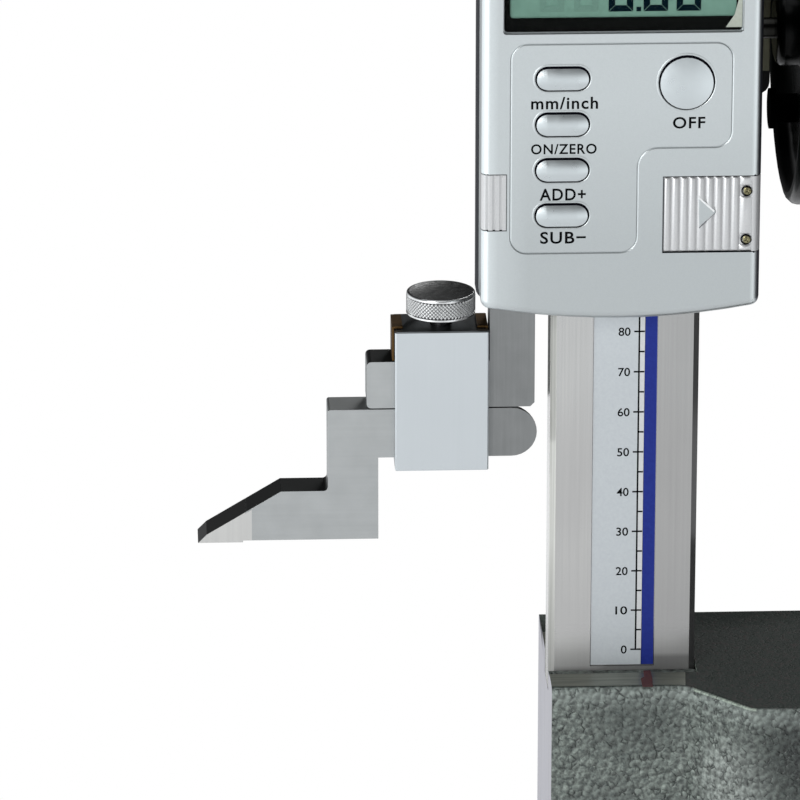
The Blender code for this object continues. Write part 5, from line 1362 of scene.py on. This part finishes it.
camera = {"azimuth": -2.394, "elevation": 19.084, "focalPixels": 6415.5, "imageWidth": 800, "aimX": -52.93,
          "aimZ": 63.86, "distance": 1508.5, "sensor": 36.0}
floorSize = {"radius": 0.36, "sides": 96, "under": 0.05 * mm}
light = {"table": 0.88, "front": 0.97, "back": 0.04, "left": 1.3, "right": 0.94, "ceiling": 0.93,
         "zenith": 1.25,
         "fill": 0.52, "low": 0.10, "tableTint": (0.97, 0.98, 1.0, 1), "roomTint": (0.96, 0.98, 1.0, 1)}
softboxes = [
    {"name": "keyLight", "at": (-0.75, -1.15, 0.55), "size": 0.55, "power": 8.0, "sheen": 0.6},
    {"name": "backLight", "at": (0.55, 1.05, 0.95), "size": 0.7, "power": 7.0, "sheen": 0.1},
]
lampAim = Vector((0, 0, 0.15))


def standAt(thing, spot, looking):
    thing.location = spot
    thing.rotation_mode = "QUATERNION"
    thing.rotation_quaternion = looking.to_track_quat("-Z", "Y")


def makeCamera():
    data = bpy.data.cameras.new("camera")
    data.sensor_width = camera["sensor"]
    data.lens = camera["focalPixels"] * camera["sensor"] / camera["imageWidth"]
    data.clip_start, data.clip_end = 0.01, 100
    thing = newObject("camera", data)
    a, e = math.radians(camera["azimuth"]), math.radians(camera["elevation"])
    back = Vector((math.sin(a) * math.cos(e), -math.cos(a) * math.cos(e), math.sin(e)))
    standAt(thing, place(camera["aimX"], camera["aimZ"], columnFront) + back * camera["distance"] * mm,
            -back)
    bpy.context.scene.camera = thing


# White where the camera looks straight at it, and a light of its own for every other ray
def whiteForCamera(tree, kind, output, colour, strength):
    path = addNode(tree, "ShaderNodeLightPath").outputs["Is Camera Ray"]
    glow, white = (addNode(tree, kind, {"Color": tint, "Strength": power}).outputs[0]
                   for tint, power in ((colour, strength), ((1, 1, 1, 1), 1.0)))
    both = addNode(tree, "ShaderNodeMixShader", {0: path, 1: glow, 2: white})
    tree.links.new(both.outputs[0], tree.nodes.new(output).inputs["Surface"])


def makeFloor():
    shape = bmesh.new()
    bmesh.ops.create_circle(shape, cap_ends=True, segments=floorSize["sides"], radius=floorSize["radius"])
    made = bpy.data.materials.new("litTable")
    made.use_nodes = True
    made.node_tree.nodes.clear()
    whiteForCamera(made.node_tree, "ShaderNodeEmission", "ShaderNodeOutputMaterial", light["tableTint"],
                   light["table"])
    floor = objectFrom("floor", shape, made)
    floor.location.z = -floorSize["under"]


# A studio that is bright before the gauge and at its left, and dark above, behind and at its right
def makeWorld():
    world = bpy.data.worlds.new("studio")
    world.use_nodes = True
    bpy.context.scene.world = world
    tree = world.node_tree
    tree.nodes.clear()
    towards = addNode(tree, "ShaderNodeTexCoord").outputs["Generated"]
    axes = addNode(tree, "ShaderNodeSeparateXYZ", {"Vector": towards}).outputs

    front = addNode(tree, "ShaderNodeMapRange", axes["Y"], -0.85, 0.10, light["front"], light["back"],
                    interpolation_type="SMOOTHSTEP")
    left = addNode(tree, "ShaderNodeMapRange", axes["X"], -0.85, -0.12, light["left"], 0.0,
                   interpolation_type="SMOOTHSTEP")
    fill = addNode(tree, "ShaderNodeMapRange", axes["X"], 0.12, 0.55, 0.0, light["fill"],
                   interpolation_type="SMOOTHSTEP")
    right = addNode(tree, "ShaderNodeMapRange", axes["X"], 0.55, 0.90, 1.0, 1.0 - light["right"],
                    interpolation_type="SMOOTHSTEP")
    low = addNode(tree, "ShaderNodeMapRange", axes["Z"], -0.40, -0.12, light["low"], 0.0,
                  interpolation_type="SMOOTHSTEP")
    ceiling = addNode(tree, "ShaderNodeMapRange", axes["Z"], -0.22, 0.50, 1.0, 1.0 - light["ceiling"],
                      interpolation_type="SMOOTHSTEP")
    zenith = addNode(tree, "ShaderNodeMapRange", axes["Z"], 0.80, 0.95, 0.0, light["zenith"],
                     interpolation_type="SMOOTHSTEP")
    around = addNode(tree, "ShaderNodeMath",
                     addNode(tree, "ShaderNodeMath", front,
                             addNode(tree, "ShaderNodeMath", fill, front, operation="MULTIPLY"),
                             operation="ADD"), addNode(tree, "ShaderNodeMath", right, ceiling,
                                                       operation="MULTIPLY"), operation="MULTIPLY")
    strength = addNode(tree, "ShaderNodeMath",
                       addNode(tree, "ShaderNodeMath",
                               addNode(tree, "ShaderNodeMath", around,
                                       addNode(tree, "ShaderNodeMath", left, ceiling, operation="MULTIPLY"),
                                       operation="ADD"), low, operation="MAXIMUM"), zenith, operation="ADD")
    whiteForCamera(tree, "ShaderNodeBackground", "ShaderNodeOutputWorld", light["roomTint"], strength)


def makeLights():
    for lamp in softboxes:
        data = bpy.data.lights.new(lamp["name"], "AREA")
        data.shape = "SQUARE"
        data.size = lamp["size"]
        data.energy = lamp["power"]
        data.specular_factor = lamp["sheen"]
        standAt(newObject(lamp["name"], data), lamp["at"], lampAim - Vector(lamp["at"]))


makeCamera()
makeFloor()
makeWorld()
makeLights()
bpy.context.scene.view_settings.view_transform = "Standard"
print("camera, floor and light set")
